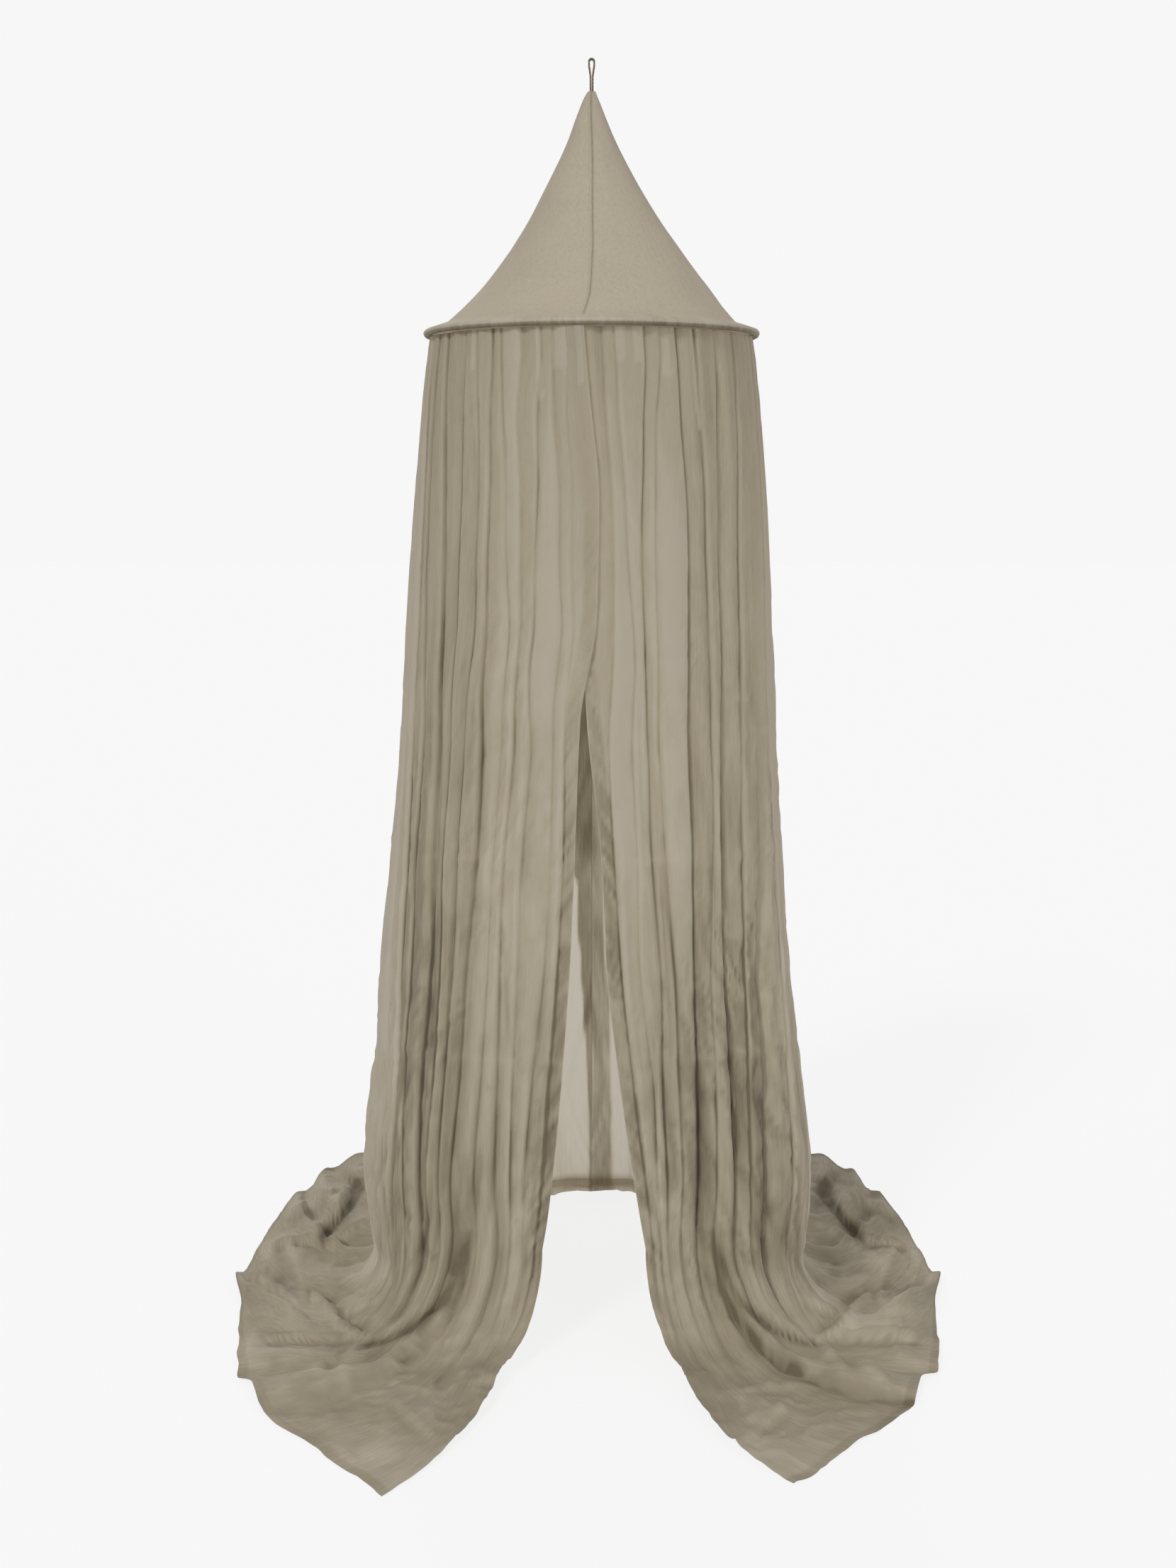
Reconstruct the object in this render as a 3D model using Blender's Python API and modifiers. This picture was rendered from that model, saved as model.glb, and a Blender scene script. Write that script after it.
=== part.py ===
"""Hanging bed canopy: a tape loop, a pointed cloth hood over a hoop, and one wide skirt.

Metres, +Z up. The front opening faces -Y. The origin is at the inside top of the loop's eye,
where the canopy hangs, so the floor lies at -LOOP_HEIGHT. Heights below are above the floor.
"""
import math
import random

import bmesh
import bpy
import numpy as np

# Driving dimensions
LOOP_HEIGHT = 1.842
HOOP_DIAMETER = 0.500
HOOP_HEIGHT = 1.449
HOOP_ROD = 0.008
TIP_HEIGHT = 1.797
CLOTH = 0.0016
HOOD_CLOTH = 0.0012
GAP = 0.0003
TAPE = 0.0027
TAPE_WIDTH = 0.0070
EYE_WIDTH = 0.0049
EYE_LENGTH = 0.0200
EYE_STRAIGHT = 0.011  # how far down the eye's sides run straight
LEG_GAP = 0.0008
LEGS_SUNK = 0.008
PLEATS_A_SIDE = 23
COLUMNS_A_PLEAT = 3
HOOD_SEGMENTS = 48

# The hood, from its tip down: height, radius and how far the cloth leans to the right
HOOD_PROFILE = (
    # height, radius, lean
    (1.797, 0.0056, 0.000),
    (1.787, 0.0105, -0.001),
    (1.767, 0.0188, -0.001),
    (1.727, 0.0350, 0.000),
    (1.686, 0.0554, 0.001),
    (1.646, 0.0775, 0.002),
    (1.605, 0.1018, 0.004),
    (1.565, 0.1288, 0.006),
    (1.524, 0.1600, 0.006),
    (1.489, 0.1900, 0.003),
    (1.463, 0.2165, 0.000),
)
CASING_FROM = 74
CASING_TO = -190
CASING_STEPS = 7
SEAM_WIDTH = 0.007
SEAM_RISE = 0.0008

# The hanging skirt, from the hoop down: how far its folds' crests reach to each side, the front
# and the back, how square its front corners are, and where its two front edges hang
HANGING = (
    # height, left, right, front, back, square, left edge, right edge
    (1.4428, 0.2405, 0.2405, 0.2405, 0.2405, 2.0, -0.011, -0.036),
    (1.360, 0.2510, 0.2510, 0.2460, 0.2430, 2.0, -0.004, -0.030),
    (1.200, 0.2665, 0.2655, 0.2580, 0.2480, 2.1, 0.010, -0.018),
    (1.050, 0.2785, 0.2750, 0.2690, 0.2530, 2.2, 0.007, -0.014),
    (0.900, 0.2870, 0.2830, 0.2790, 0.2570, 2.4, -0.016, -0.007),
    (0.700, 0.3045, 0.2970, 0.2910, 0.2630, 2.7, -0.024, 0.014),
    (0.550, 0.3210, 0.3090, 0.3000, 0.2670, 3.0, -0.031, 0.021),
    (0.400, 0.3310, 0.3255, 0.3090, 0.2710, 3.3, -0.042, 0.038),
    (0.200, 0.3510, 0.3450, 0.3220, 0.2770, 3.8, -0.062, 0.068),
    (0.030, 0.3300, 0.3260, 0.3310, 0.2810, 4.0, -0.096, 0.100),
)
BACK_SQUARE = 2.2

# The train of one side, from the front edge (across 0) to the middle of the back (across 1).
# foot is the share of the foot's outline; lift is the height where the cloth starts to bend. It
# lands, sweeps towards the pull point, and ends at the hem.
TRAIN = (
    # across, foot, lift, landing x, landing y, pull x, pull y, hem x, hem y
    (0.000, 0.000, 0.150, 0.124, -0.425, 0.150, -0.612, 0.256, -0.745),
    (0.080, 0.053, 0.160, 0.190, -0.436, 0.235, -0.580, 0.351, -0.633),
    (0.158, 0.106, 0.165, 0.262, -0.428, 0.345, -0.508, 0.441, -0.519),
    (0.200, 0.135, 0.160, 0.300, -0.416, 0.385, -0.455, 0.469, -0.442),
    (0.215, 0.150, 0.155, 0.312, -0.409, 0.398, -0.438, 0.488, -0.424),
    (0.290, 0.205, 0.120, 0.350, -0.362, 0.445, -0.360, 0.515, -0.281),
    (0.355, 0.245, 0.095, 0.368, -0.322, 0.470, -0.300, 0.531, -0.169),
    (0.406, 0.275, 0.085, 0.378, -0.285, 0.488, -0.232, 0.554, -0.076),
    (0.425, 0.295, 0.080, 0.380, -0.255, 0.490, -0.196, 0.545, -0.045),
    (0.540, 0.430, 0.070, 0.392, -0.080, 0.500, 0.010, 0.535, 0.172),
    (0.640, 0.550, 0.060, 0.388, 0.060, 0.480, 0.170, 0.492, 0.345),
    (0.710, 0.640, 0.055, 0.366, 0.160, 0.440, 0.290, 0.456, 0.458),
    (0.840, 0.800, 0.045, 0.240, 0.290, 0.285, 0.420, 0.290, 0.575),
    (1.000, 1.000, 0.040, 0.000, 0.335, 0.000, 0.480, 0.000, 0.640),
)
RIGHT_REACH = (0.982, 0.965)  # the right train's hem is a little nearer, sideways and to the front

# Folds that lie on the floor, each a ridge from the foot to the hem. near and far are the widths
# of its slopes, as shares of the cloth; the heights are at the landing, half way and at the hem.
FLOOR_FOLDS = (
    # across, near, far, at landing, half way, at hem
    (0.085, 0.030, 0.040, 0.005, 0.004, 0.002),
    (0.172, 0.016, 0.060, 0.022, 0.030, 0.012),
    (0.245, 0.045, 0.060, 0.014, 0.024, 0.008),
    (0.400, 0.090, 0.024, 0.010, 0.034, 0.014),
    (0.455, 0.020, 0.030, 0.006, 0.007, 0.004),
    (0.600, 0.040, 0.024, 0.014, 0.024, 0.010),
    (0.665, 0.032, 0.032, 0.024, 0.024, 0.013),
    (0.735, 0.032, 0.034, 0.022, 0.018, 0.010),
    (0.820, 0.030, 0.034, 0.016, 0.016, 0.008),
    (0.915, 0.034, 0.034, 0.018, 0.014, 0.008),
)

# Where the pleats of the front half lie, counted from each front edge: as a share of the outline
# at the hoop, and as the train's across. The others follow evenly to the middle of the back.
PLEAT_PLACES = (
    # pleat, left at hoop, left on train, right at hoop, right on train
    (1, 0.033, 0.030, 0.060, 0.010),
    (2, 0.060, 0.050, 0.082, 0.025),
    (3, 0.082, 0.070, 0.137, 0.050),
    (4, 0.121, 0.098, 0.165, 0.080),
    (5, 0.165, 0.140, 0.198, 0.113),
    (6, 0.181, 0.190, 0.236, 0.150),
    (7, 0.220, 0.215, 0.286, 0.196),
    (8, 0.253, 0.243, 0.341, 0.228),
    (9, 0.319, 0.268, 0.396, 0.270),
    (10, 0.358, 0.303, 0.435, 0.310),
)

# Pleats that deepen into main folds on the way down: side, pleat and its depth
MAIN_FOLDS = (
    # side, pleat, at hoop, half way, at foot
    ("left", 2, 0.005, 0.010, 0.016),
    ("left", 4, 0.005, 0.009, 0.018),
    ("left", 6, 0.004, 0.012, 0.020),
    ("left", 9, 0.006, 0.013, 0.020),
    ("left", 13, 0.005, 0.012, 0.016),
    ("left", 18, 0.005, 0.015, 0.020),
    ("right", 1, 0.004, 0.010, 0.014),
    ("right", 3, 0.005, 0.012, 0.016),
    ("right", 5, 0.006, 0.014, 0.022),
    ("right", 7, 0.005, 0.012, 0.020),
    ("right", 9, 0.006, 0.015, 0.020),
    ("right", 13, 0.005, 0.010, 0.014),
    ("right", 18, 0.005, 0.014, 0.018),
)
PLEAT_SPREAD = 0.42  # how far a pleat's valley reaches towards the next one
PLEAT_SHAPE = 1.5
BROAD_WAVES = 0.010
SWAY = 0.010
SPREAD_LATE = 1.3  # over 1, the pleats move towards their places on the train mostly lower down
LAP_RISE = 0.0050
LAP_WIDTH = 0.11
FLAT_EDGE = 0.055

# Rows of the solid's mesh: heights of the hanging part, then steps of the bend and the train
HANGING_ROWS = (1.4428, 1.37, 1.24, 1.08, 0.91, 0.74, 0.57, 0.41, 0.27, 0.17)
BEND_ROWS = (0.25, 0.50, 0.75, 1.0)
TRAIN_ROWS = (0.16, 0.36, 0.56, 0.76, 0.90, 1.0)


def column(table, index):
    """One column of a table, from its lowest key to its highest."""
    rows = sorted(table)
    return [row[0] for row in rows], [row[index] for row in rows]


def smooth(table, index, at):
    """Reads a table's column between its rows, on a curve that never overshoots them."""
    keys, values = (np.array(part, float) for part in column(table, index))
    slopes = np.diff(values) / np.diff(keys)
    tangents = np.zeros(len(keys))
    for i in range(1, len(keys) - 1):
        if slopes[i - 1] * slopes[i] > 0:
            tangents[i] = 2 / (1 / slopes[i - 1] + 1 / slopes[i])
    tangents[0], tangents[-1] = slopes[0], slopes[-1]
    at = min(max(at, keys[0]), keys[-1])
    i = min(int(np.searchsorted(keys, at, side="right")) - 1, len(keys) - 2)
    width = keys[i + 1] - keys[i]
    t = (at - keys[i]) / width
    return float(
        (1 + 2 * t) * (1 - t) ** 2 * values[i]
        + t * (1 - t) ** 2 * width * tangents[i]
        + t * t * (3 - 2 * t) * values[i + 1]
        - t * t * (1 - t) * width * tangents[i + 1]
    )


def blend(t):
    """Goes from 0 to 1 with a level start and end."""
    t = min(max(t, 0.0), 1.0)
    return t * t * (3 - 2 * t)


def three_way(share, start, middle, end):
    """Goes through three values, at 0, a half and 1."""
    if share < 0.5:
        return start + (middle - start) * blend(share * 2)
    return middle + (end - middle) * blend(share * 2 - 1)


def section(height, side):
    """The outline of the hanging skirt at one height, from the front edge to the middle of the back."""
    wide = smooth(HANGING, 1 if side == "left" else 2, height)
    front, back, square = (smooth(HANGING, i, height) for i in (3, 4, 5))
    edge = -smooth(HANGING, 6, height) if side == "left" else smooth(HANGING, 7, height)
    angles = np.linspace(math.atan2(edge, front), math.pi, 181)
    power = np.where(angles < math.pi / 2, square, BACK_SQUARE)
    reach = np.where(angles < math.pi / 2, front, back)
    radius = (np.abs(np.sin(angles) / wide) ** power + np.abs(np.cos(angles) / reach) ** power) ** (-1 / power)
    out = -1 if side == "left" else 1
    x, y = out * radius * np.sin(angles), -radius * np.cos(angles)
    run = np.concatenate([[0], np.cumsum(np.hypot(np.diff(x), np.diff(y)))])
    return x, y, run / run[-1]


def on_section(outline, share):
    """A point of an outline at a share of its length, and the way out of it."""
    x, y, run = outline
    here = np.array([np.interp(share, run, x), np.interp(share, run, y)])
    a, b = max(share - 0.01, 0.0), min(share + 0.01, 1.0)
    along = np.array([np.interp(b, run, x) - np.interp(a, run, x), np.interp(b, run, y) - np.interp(a, run, y)])
    out = np.array([along[1], -along[0]]) / np.hypot(*along)
    return here, out if out @ here > 0 else -out


def pleat_plan():
    """Each pleat's place and depth, uneven in the same way every time."""
    uneven = random.Random(7)
    plan = {}
    last = PLEAT_PLACES[-1][0]
    for side in ("left", "right"):
        rim, train = ((0,) + tuple(zip(*PLEAT_PLACES))[i] for i in ((1, 2) if side == "left" else (3, 4)))
        rim, train = list(rim), list(train)
        for i in range(len(rim), PLEATS_A_SIDE):
            share = (i - last + uneven.uniform(-0.24, 0.24)) / (PLEATS_A_SIDE - last)
            rim.append(rim[last] + (1 - rim[last]) * share)
            train.append(train[last] + (1 - train[last]) * share)
        depths = [
            (uneven.uniform(0.002, 0.005), uneven.uniform(0.003, 0.009), uneven.uniform(0.002, 0.009))
            for _ in range(PLEATS_A_SIDE + 1)
        ]
        for name, pleat, *depth in MAIN_FOLDS:
            if name == side:
                depths[pleat] = tuple(depth)
        waves = [(uneven.uniform(2.5, 7.0), uneven.uniform(0, 6.28)) for _ in range(3)]
        plan[side] = {"rim": rim + [1], "train": train + [1], "depths": depths, "waves": waves}
    return plan


PLEATS = pleat_plan()


def across_at(side, q, where):
    """How far across the cloth column q lies, counted in pleats, at its rim or on its train."""
    places = PLEATS[side][where]
    i = min(int(q), PLEATS_A_SIDE - 1)
    return places[i] + (places[i + 1] - places[i]) * (q - i)


def pleat_depth(side, q, drop):
    """How far the cloth lies behind the crests, at column q and a share of the drop."""
    i = min(int(q), PLEATS_A_SIDE - 1)
    here = q - i
    depth = 0.0
    for pleat, away in ((i, here), (i + 1, 1 - here)):
        depth += three_way(drop, *PLEATS[side]["depths"][pleat]) * max(0.0, 1 - away / PLEAT_SPREAD) ** PLEAT_SHAPE
    across = across_at(side, q, "rim")
    broad = sum(math.sin(2 * math.pi * n * across + p + 1.2 * drop) for n, p in PLEATS[side]["waves"])
    depth += (1 + broad / 3) * BROAD_WAVES * blend(drop * 1.1) * blend((1 - across) * 8)
    return depth * blend((across - FLAT_EDGE * 0.4) / FLAT_EDGE)


def hanging_point(side, q, height):
    """A point of the hanging cloth, and the way out of it."""
    across = across_at(side, q, "rim")
    drop = (HANGING[0][0] - height) / HANGING[0][0]
    share = across + (smooth(TRAIN, 1, across_at(side, q, "train")) - across) * drop**SPREAD_LATE
    sway = SWAY * math.sin(9 * across + 5 * drop + (1 if side == "left" else 3)) * blend(drop * 2)
    share += sway * blend((across - 0.3) * 6) * blend((1 - across) * 6)
    here, out = on_section(section(height, side), share)
    rise = LAP_RISE * (1 - blend(across / LAP_WIDTH)) * (1 if side == "left" else -0.2)
    return here + out * (rise - pleat_depth(side, q, drop)), out


def floor_height(across, run):
    """How high the cloth lies over the floor on its train."""
    height = 0.0
    for top, near, far, *heights in FLOOR_FOLDS:
        away = (top - across) / near if across < top else (across - top) / far
        height = max(height, three_way(run, *heights) * (1 - blend(away)))
    return height


def train_point(side, q, bend, run):
    """A point beyond the hanging part: bend goes through the curve at the foot, then run to the hem."""
    out = -1 if side == "left" else 1
    across = across_at(side, q, "train")
    lift, land_x, land_y, pull_x, pull_y, hem_x, hem_y = (smooth(TRAIN, i, across) for i in range(2, 9))
    if side == "right":
        hem_x *= RIGHT_REACH[0]
        hem_y *= RIGHT_REACH[1] if hem_y < 0 else 1
    foot, _ = hanging_point(side, q, lift)
    landing = np.array([out * land_x, land_y])
    pull = np.array([out * pull_x, pull_y])
    hem = np.array([out * hem_x, hem_y])
    ripple = 0.25 * pleat_depth(side, q, 1.0) * (1 - 0.6 * run)
    lying = CLOTH / 2 + floor_height(across, run) + max(0.0, 0.003 - ripple)
    turn = bend * math.pi / 2
    if run <= 0:
        place = foot + (landing - foot) * (1 - math.cos(turn))
        return place, lying + (lift - lying) * (1 - math.sin(turn))
    place = (1 - run) ** 2 * landing + 2 * run * (1 - run) * pull + run * run * hem
    return place, lying


def skirt_point(side, q, row):
    """A point of the skirt at a column and a row of its mesh."""
    if row < len(HANGING_ROWS):
        lowest = smooth(TRAIN, 2, across_at(side, q, "train"))
        first, last = HANGING_ROWS[0], HANGING_ROWS[-1]
        height = lowest + (first - lowest) * (HANGING_ROWS[row] - last) / (first - last)
        place, _ = hanging_point(side, q, height)
        return place[0], place[1], height - LOOP_HEIGHT
    row -= len(HANGING_ROWS)
    if row < len(BEND_ROWS):
        place, height = train_point(side, q, BEND_ROWS[row], 0.0)
    else:
        place, height = train_point(side, q, 1.0, TRAIN_ROWS[row - len(BEND_ROWS)])
    return place[0], place[1], height - LOOP_HEIGHT


def material(name, colour, roughness):
    """A plain cloth or rod finish."""
    finish = bpy.data.materials.new(name)
    finish.use_nodes = True
    shader = finish.node_tree.nodes["Principled BSDF"]
    shader.inputs["Base Color"].default_value = (*colour, 1)
    shader.inputs["Roughness"].default_value = roughness
    shader.inputs["Metallic"].default_value = 0
    return finish


def add(name, mesh, finish):
    """Puts a mesh in the canopy's collection as a named object."""
    piece = bpy.data.objects.new(name, mesh)
    piece.data.materials.append(finish)
    piece.parent = hanger
    canopy.objects.link(piece)
    return piece


def thicken(piece, thickness):
    """Gives an open surface the thickness of its cloth, half on each side."""
    solidify = piece.modifiers.new("Cloth", "SOLIDIFY")
    solidify.thickness = thickness
    solidify.offset = 0
    solidify.use_rim = True


def make_skirt(finish):
    """The skirt: one sheet from the left front edge round the back to the right front edge."""
    a_side = PLEATS_A_SIDE * COLUMNS_A_PLEAT
    rows = len(HANGING_ROWS) + len(BEND_ROWS) + len(TRAIN_ROWS)
    bm = bmesh.new()
    bmesh.ops.create_grid(bm, x_segments=2 * a_side, y_segments=rows - 1, size=1.0)
    for vert in bm.verts:
        across = round((vert.co.x + 1) * a_side)
        row = round((1 - vert.co.y) / 2 * (rows - 1))
        side, steps = ("left", across) if across <= a_side else ("right", 2 * a_side - across)
        vert.co = skirt_point(side, steps / COLUMNS_A_PLEAT, row)
    mesh = bpy.data.meshes.new("skirt")
    bm.to_mesh(mesh)
    bm.free()
    mesh.shade_smooth()
    thicken(add("skirt", mesh, finish), CLOTH)


def hood_profile():
    """The hood's half section: down from the tip, then round the hoop's rod as its casing."""
    centre = HOOP_DIAMETER / 2 - HOOD_CLOTH - GAP - HOOP_ROD / 2
    around = HOOP_ROD / 2 + GAP + HOOD_CLOTH / 2
    points = [(radius, height) for height, radius, _ in HOOD_PROFILE]
    for step in range(CASING_STEPS + 1):
        turn = math.radians(CASING_FROM + (CASING_TO - CASING_FROM) * step / CASING_STEPS)
        points.append((centre + around * math.cos(turn), HOOP_HEIGHT + around * math.sin(turn)))
    return points


def make_hood(finish):
    """The hood: its half section turned round the axis, leaning a little, with a raised front seam."""
    bm = bmesh.new()
    line = [bm.verts.new((0, -radius, height)) for radius, height in hood_profile()]
    edges = [bm.edges.new(pair) for pair in zip(line, line[1:])]
    bmesh.ops.spin(
        bm,
        geom=line + edges,
        cent=(0, 0, 0),
        axis=(0, 0, 1),
        angle=2 * math.pi,
        steps=HOOD_SEGMENTS,
        use_merge=True,
    )
    bmesh.ops.recalc_face_normals(bm, faces=bm.faces)
    casing = HOOD_PROFILE[-1][0]
    for vert in bm.verts:
        x, y, height = vert.co
        radius = math.hypot(x, y)
        if height > casing and abs(x) < SEAM_WIDTH / 2 and y < 0:
            y -= SEAM_RISE * blend((radius - HOOD_PROFILE[1][1]) / HOOD_PROFILE[2][1])
        lean = smooth(HOOD_PROFILE, 2, height) if height > casing else 0.0
        vert.co = (x + lean, y, height - LOOP_HEIGHT)
    mesh = bpy.data.meshes.new("hood")
    bm.to_mesh(mesh)
    bm.free()
    mesh.shade_smooth()
    thicken(add("hood", mesh, finish), HOOD_CLOTH)


def make_hoop(finish):
    """The hoop: a plain round rod bent to a ring, inside the hood's casing."""
    bpy.ops.mesh.primitive_torus_add(
        major_segments=HOOD_SEGMENTS,
        minor_segments=10,
        major_radius=HOOP_DIAMETER / 2 - HOOD_CLOTH - GAP - HOOP_ROD / 2,
        minor_radius=HOOP_ROD / 2,
        location=(0, 0, HOOP_HEIGHT - LOOP_HEIGHT),
        rotation=(0, 0, math.pi / 2),
    )
    hoop = bpy.context.object
    hoop.name = "hoop"
    hoop.parent = hanger
    hoop.data.materials.append(finish)
    hoop.data.shade_smooth()
    for collection in list(hoop.users_collection):
        collection.objects.unlink(hoop)
    canopy.objects.link(hoop)


def make_loop(finish):
    """The hanging loop: a tape folded in two, open in a slim eye at the top, its legs in the hood's tip."""
    half_eye, half_outer = EYE_WIDTH / 2, EYE_WIDTH / 2 + TAPE
    legs_end = TIP_HEIGHT - LEGS_SUNK - LOOP_HEIGHT
    legs_top = (TAPE + LEG_GAP / 2, -EYE_LENGTH - TAPE)
    outline = bpy.data.curves.new("hanging_loop", "CURVE")
    outline.dimensions = "2D"
    outline.fill_mode = "BOTH"
    outline.extrude = TAPE_WIDTH / 2
    arc = [math.pi * i / 8 for i in range(9)]
    outer = [(half_outer * math.cos(a), half_outer * math.sin(a) - half_eye) for a in arc]
    outer += [(-half_outer, -EYE_STRAIGHT), (-legs_top[0], legs_top[1]), (-TAPE, legs_end)]
    outer += [(TAPE, legs_end), legs_top, (half_outer, -EYE_STRAIGHT)]
    eye = [(half_eye * math.cos(a), half_eye * math.sin(a) - half_eye) for a in arc]
    eye += [(-half_eye, -EYE_STRAIGHT), (0, -EYE_LENGTH), (half_eye, -EYE_STRAIGHT)]
    for points in (outer, eye):
        spline = outline.splines.new("POLY")
        spline.points.add(len(points) - 1)
        for point, (x, z) in zip(spline.points, points):
            point.co = (x, z, 0, 1)
        spline.use_cyclic_u = True
    loop = bpy.data.objects.new("hanging_loop", outline)
    loop.rotation_euler = (math.pi / 2, 0, 0)
    loop.parent = hanger
    outline.materials.append(finish)
    canopy.objects.link(loop)


for old in list(bpy.data.objects):
    bpy.data.objects.remove(old)

canopy = bpy.data.collections.new("bed_canopy")
bpy.context.scene.collection.children.link(canopy)
hanger = bpy.data.objects.new("hanger", None)
canopy.objects.link(hanger)

make_skirt(material("skirt_cloth", (0.334, 0.291, 0.213), 0.9))
make_hood(material("hood_cloth", (0.402, 0.361, 0.277), 0.85))
make_hoop(material("hoop_rod", (0.60, 0.58, 0.54), 0.5))
make_loop(material("loop_tape", (0.180, 0.150, 0.110), 0.8))
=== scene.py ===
import math
import random

import bmesh
import bpy
import numpy as np
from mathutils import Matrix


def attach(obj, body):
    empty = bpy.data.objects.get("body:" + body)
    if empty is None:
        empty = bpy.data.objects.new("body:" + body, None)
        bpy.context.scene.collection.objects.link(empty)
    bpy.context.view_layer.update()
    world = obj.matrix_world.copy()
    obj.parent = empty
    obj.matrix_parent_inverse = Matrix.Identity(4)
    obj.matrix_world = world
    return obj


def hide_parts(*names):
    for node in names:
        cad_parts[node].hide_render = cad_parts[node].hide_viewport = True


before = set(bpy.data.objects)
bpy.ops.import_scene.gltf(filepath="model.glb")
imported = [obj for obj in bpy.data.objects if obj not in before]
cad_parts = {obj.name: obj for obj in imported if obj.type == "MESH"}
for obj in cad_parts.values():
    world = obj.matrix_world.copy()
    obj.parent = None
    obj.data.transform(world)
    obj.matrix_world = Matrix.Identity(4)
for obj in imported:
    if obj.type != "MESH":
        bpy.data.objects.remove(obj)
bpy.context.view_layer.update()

# Camera
# It stands 3 m in front of the hoop at chest height and is tipped down to take in the train,
# so the hoop is seen from a little below and the floor from well above.
CAMERA_HEIGHT = 1.216
CAMERA_BACK = 3.0
CAMERA_SIDE = -0.0053
TIP_DOWN = math.radians(8.42)
FOCAL_PIXELS = 2775
PICTURE_HEIGHT = 2212
FLOOR = -1.842  # the part hangs from its loop at zero, and heights are counted from the floor


def new_object(name, data):
    """An object in the scene's own collection."""
    thing = bpy.data.objects.new(name, data)
    bpy.context.scene.collection.objects.link(thing)
    return thing


camera = new_object("camera", bpy.data.cameras.new("camera"))
camera.data.sensor_fit = "VERTICAL"
camera.data.sensor_height = 24
camera.data.lens = camera.data.sensor_height * FOCAL_PIXELS / PICTURE_HEIGHT
camera.location = (CAMERA_SIDE, -CAMERA_BACK, FLOOR + CAMERA_HEIGHT)
camera.rotation_euler = (math.pi / 2 - TIP_DOWN, 0, 0)
bpy.context.scene.camera = camera


# Hanging loop
# A narrow cotton twill tape folded in two. Its ends are caught in the tip of the hood, and it
# stays open in a slim eye at the top, where it goes over a ceiling hook.
TAPE = 0.0027
TAPE_WIDTH = 0.0070
EYE_HALF = 0.00245
EYE_LENGTH = 0.0200
LEGS_END = -0.0528
LEGS_APART = 0.0002  # half the gap between the two legs
TAPE_YARN = 0.6  # mm between the tape's diagonal ribs


def linear(hex_colour):
    """A shader's linear colour from an sRGB hex value."""
    parts = (int(hex_colour[i : i + 2], 16) / 255 for i in (1, 3, 5))
    return (*(p / 12.92 if p <= 0.04045 else ((p + 0.055) / 1.055) ** 2.4 for p in parts), 1)


def add_node(tree, kind, settings=None, links=None):
    """Adds one node with its settings, and joins its inputs to other nodes' sockets."""
    node = tree.nodes.new("ShaderNode" + kind)
    for name, value in (settings or {}).items():
        if isinstance(name, int) or name in node.inputs.keys():
            node.inputs[name].default_value = value
        else:
            setattr(node, name, value)
    for name, socket in (links or {}).items():
        tree.links.new(socket, node.inputs[name])
    return node


def noise(tree, vector, scale, detail, distortion=0.0):
    """Random lumps, as many as the scale says to each unit of the vector."""
    settings = {"Scale": scale, "Detail": detail, "Distortion": distortion}
    return add_node(tree, "TexNoise", settings, {"Vector": vector}).outputs["Fac"]


def new_finish(name, settings):
    """A new material whose shader has these settings, with its node tree and that shader."""
    finish = bpy.data.materials.new(name)
    finish.use_nodes = True
    shader = finish.node_tree.nodes["Principled BSDF"]
    for socket, value in settings.items():
        shader.inputs[socket].default_value = value
    return finish, finish.node_tree, shader


def two_tints(tree, shader, first, second, amount):
    """Colours a shader between two tints, by an amount that another node gives."""
    tints = {"data_type": "RGBA", 6: linear(first), 7: linear(second)}
    mix = add_node(tree, "Mix", tints, {0: amount})
    tree.links.new(mix.outputs[2], shader.inputs["Base Color"])


def new_piece(name, points, faces, finish):
    """A mesh object of smooth faces, in the frame's own axes."""
    mesh = bpy.data.meshes.new(name)
    mesh.from_pydata([tuple(p) for p in points], [], faces)
    mesh.update()
    mesh.shade_smooth()
    mesh.materials.append(finish)
    return new_object(name, mesh)


def cotton_tape(name):
    """Dyed cotton twill tape: dull, with a fine diagonal rib."""
    finish, tree, shader = new_finish(name, {"Roughness": 0.85})
    place = add_node(tree, "TexCoord").outputs["Object"]
    turned = add_node(tree, "Mapping", {"Rotation": (0, 0.8, 0)}, {"Vector": place})
    wave = {"Scale": 1000 / TAPE_YARN / 20, "Distortion": 0.6, "Detail": 1.0}
    rib = add_node(tree, "TexWave", wave, {"Vector": turned.outputs[0]}).outputs["Fac"]
    bump = add_node(tree, "Bump", {"Strength": 0.5, "Distance": 0.0003}, {"Height": rib})
    two_tints(tree, shader, "#5F5548", "#7F7463", rib)
    tree.links.new(bump.outputs[0], shader.inputs["Normal"])
    return finish


def loop_line():
    """The tape's middle line, up one leg, round the eye and down the other, with its way out."""
    half = EYE_HALF + TAPE / 2
    leg = -TAPE / 2 - LEGS_APART
    line = [(leg, LEGS_END), (leg, -EYE_LENGTH - 0.012)]
    line += [(-TAPE / 2 - 0.0003, -EYE_LENGTH - 0.003), (-half * 0.72, -0.0150), (-half, -0.0085)]
    line += [(-half * math.cos(a), -EYE_HALF + half * math.sin(a)) for a in np.linspace(0, math.pi, 15)]
    line += [(-x, z) for x, z in reversed(line[:5])]
    return np.array(line)


loop_path = loop_line()
loop_way = np.gradient(loop_path, axis=0)
loop_way /= np.hypot(loop_way[:, 0], loop_way[:, 1])[:, None]
loop_out = np.column_stack([-loop_way[:, 1], loop_way[:, 0]])
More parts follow.
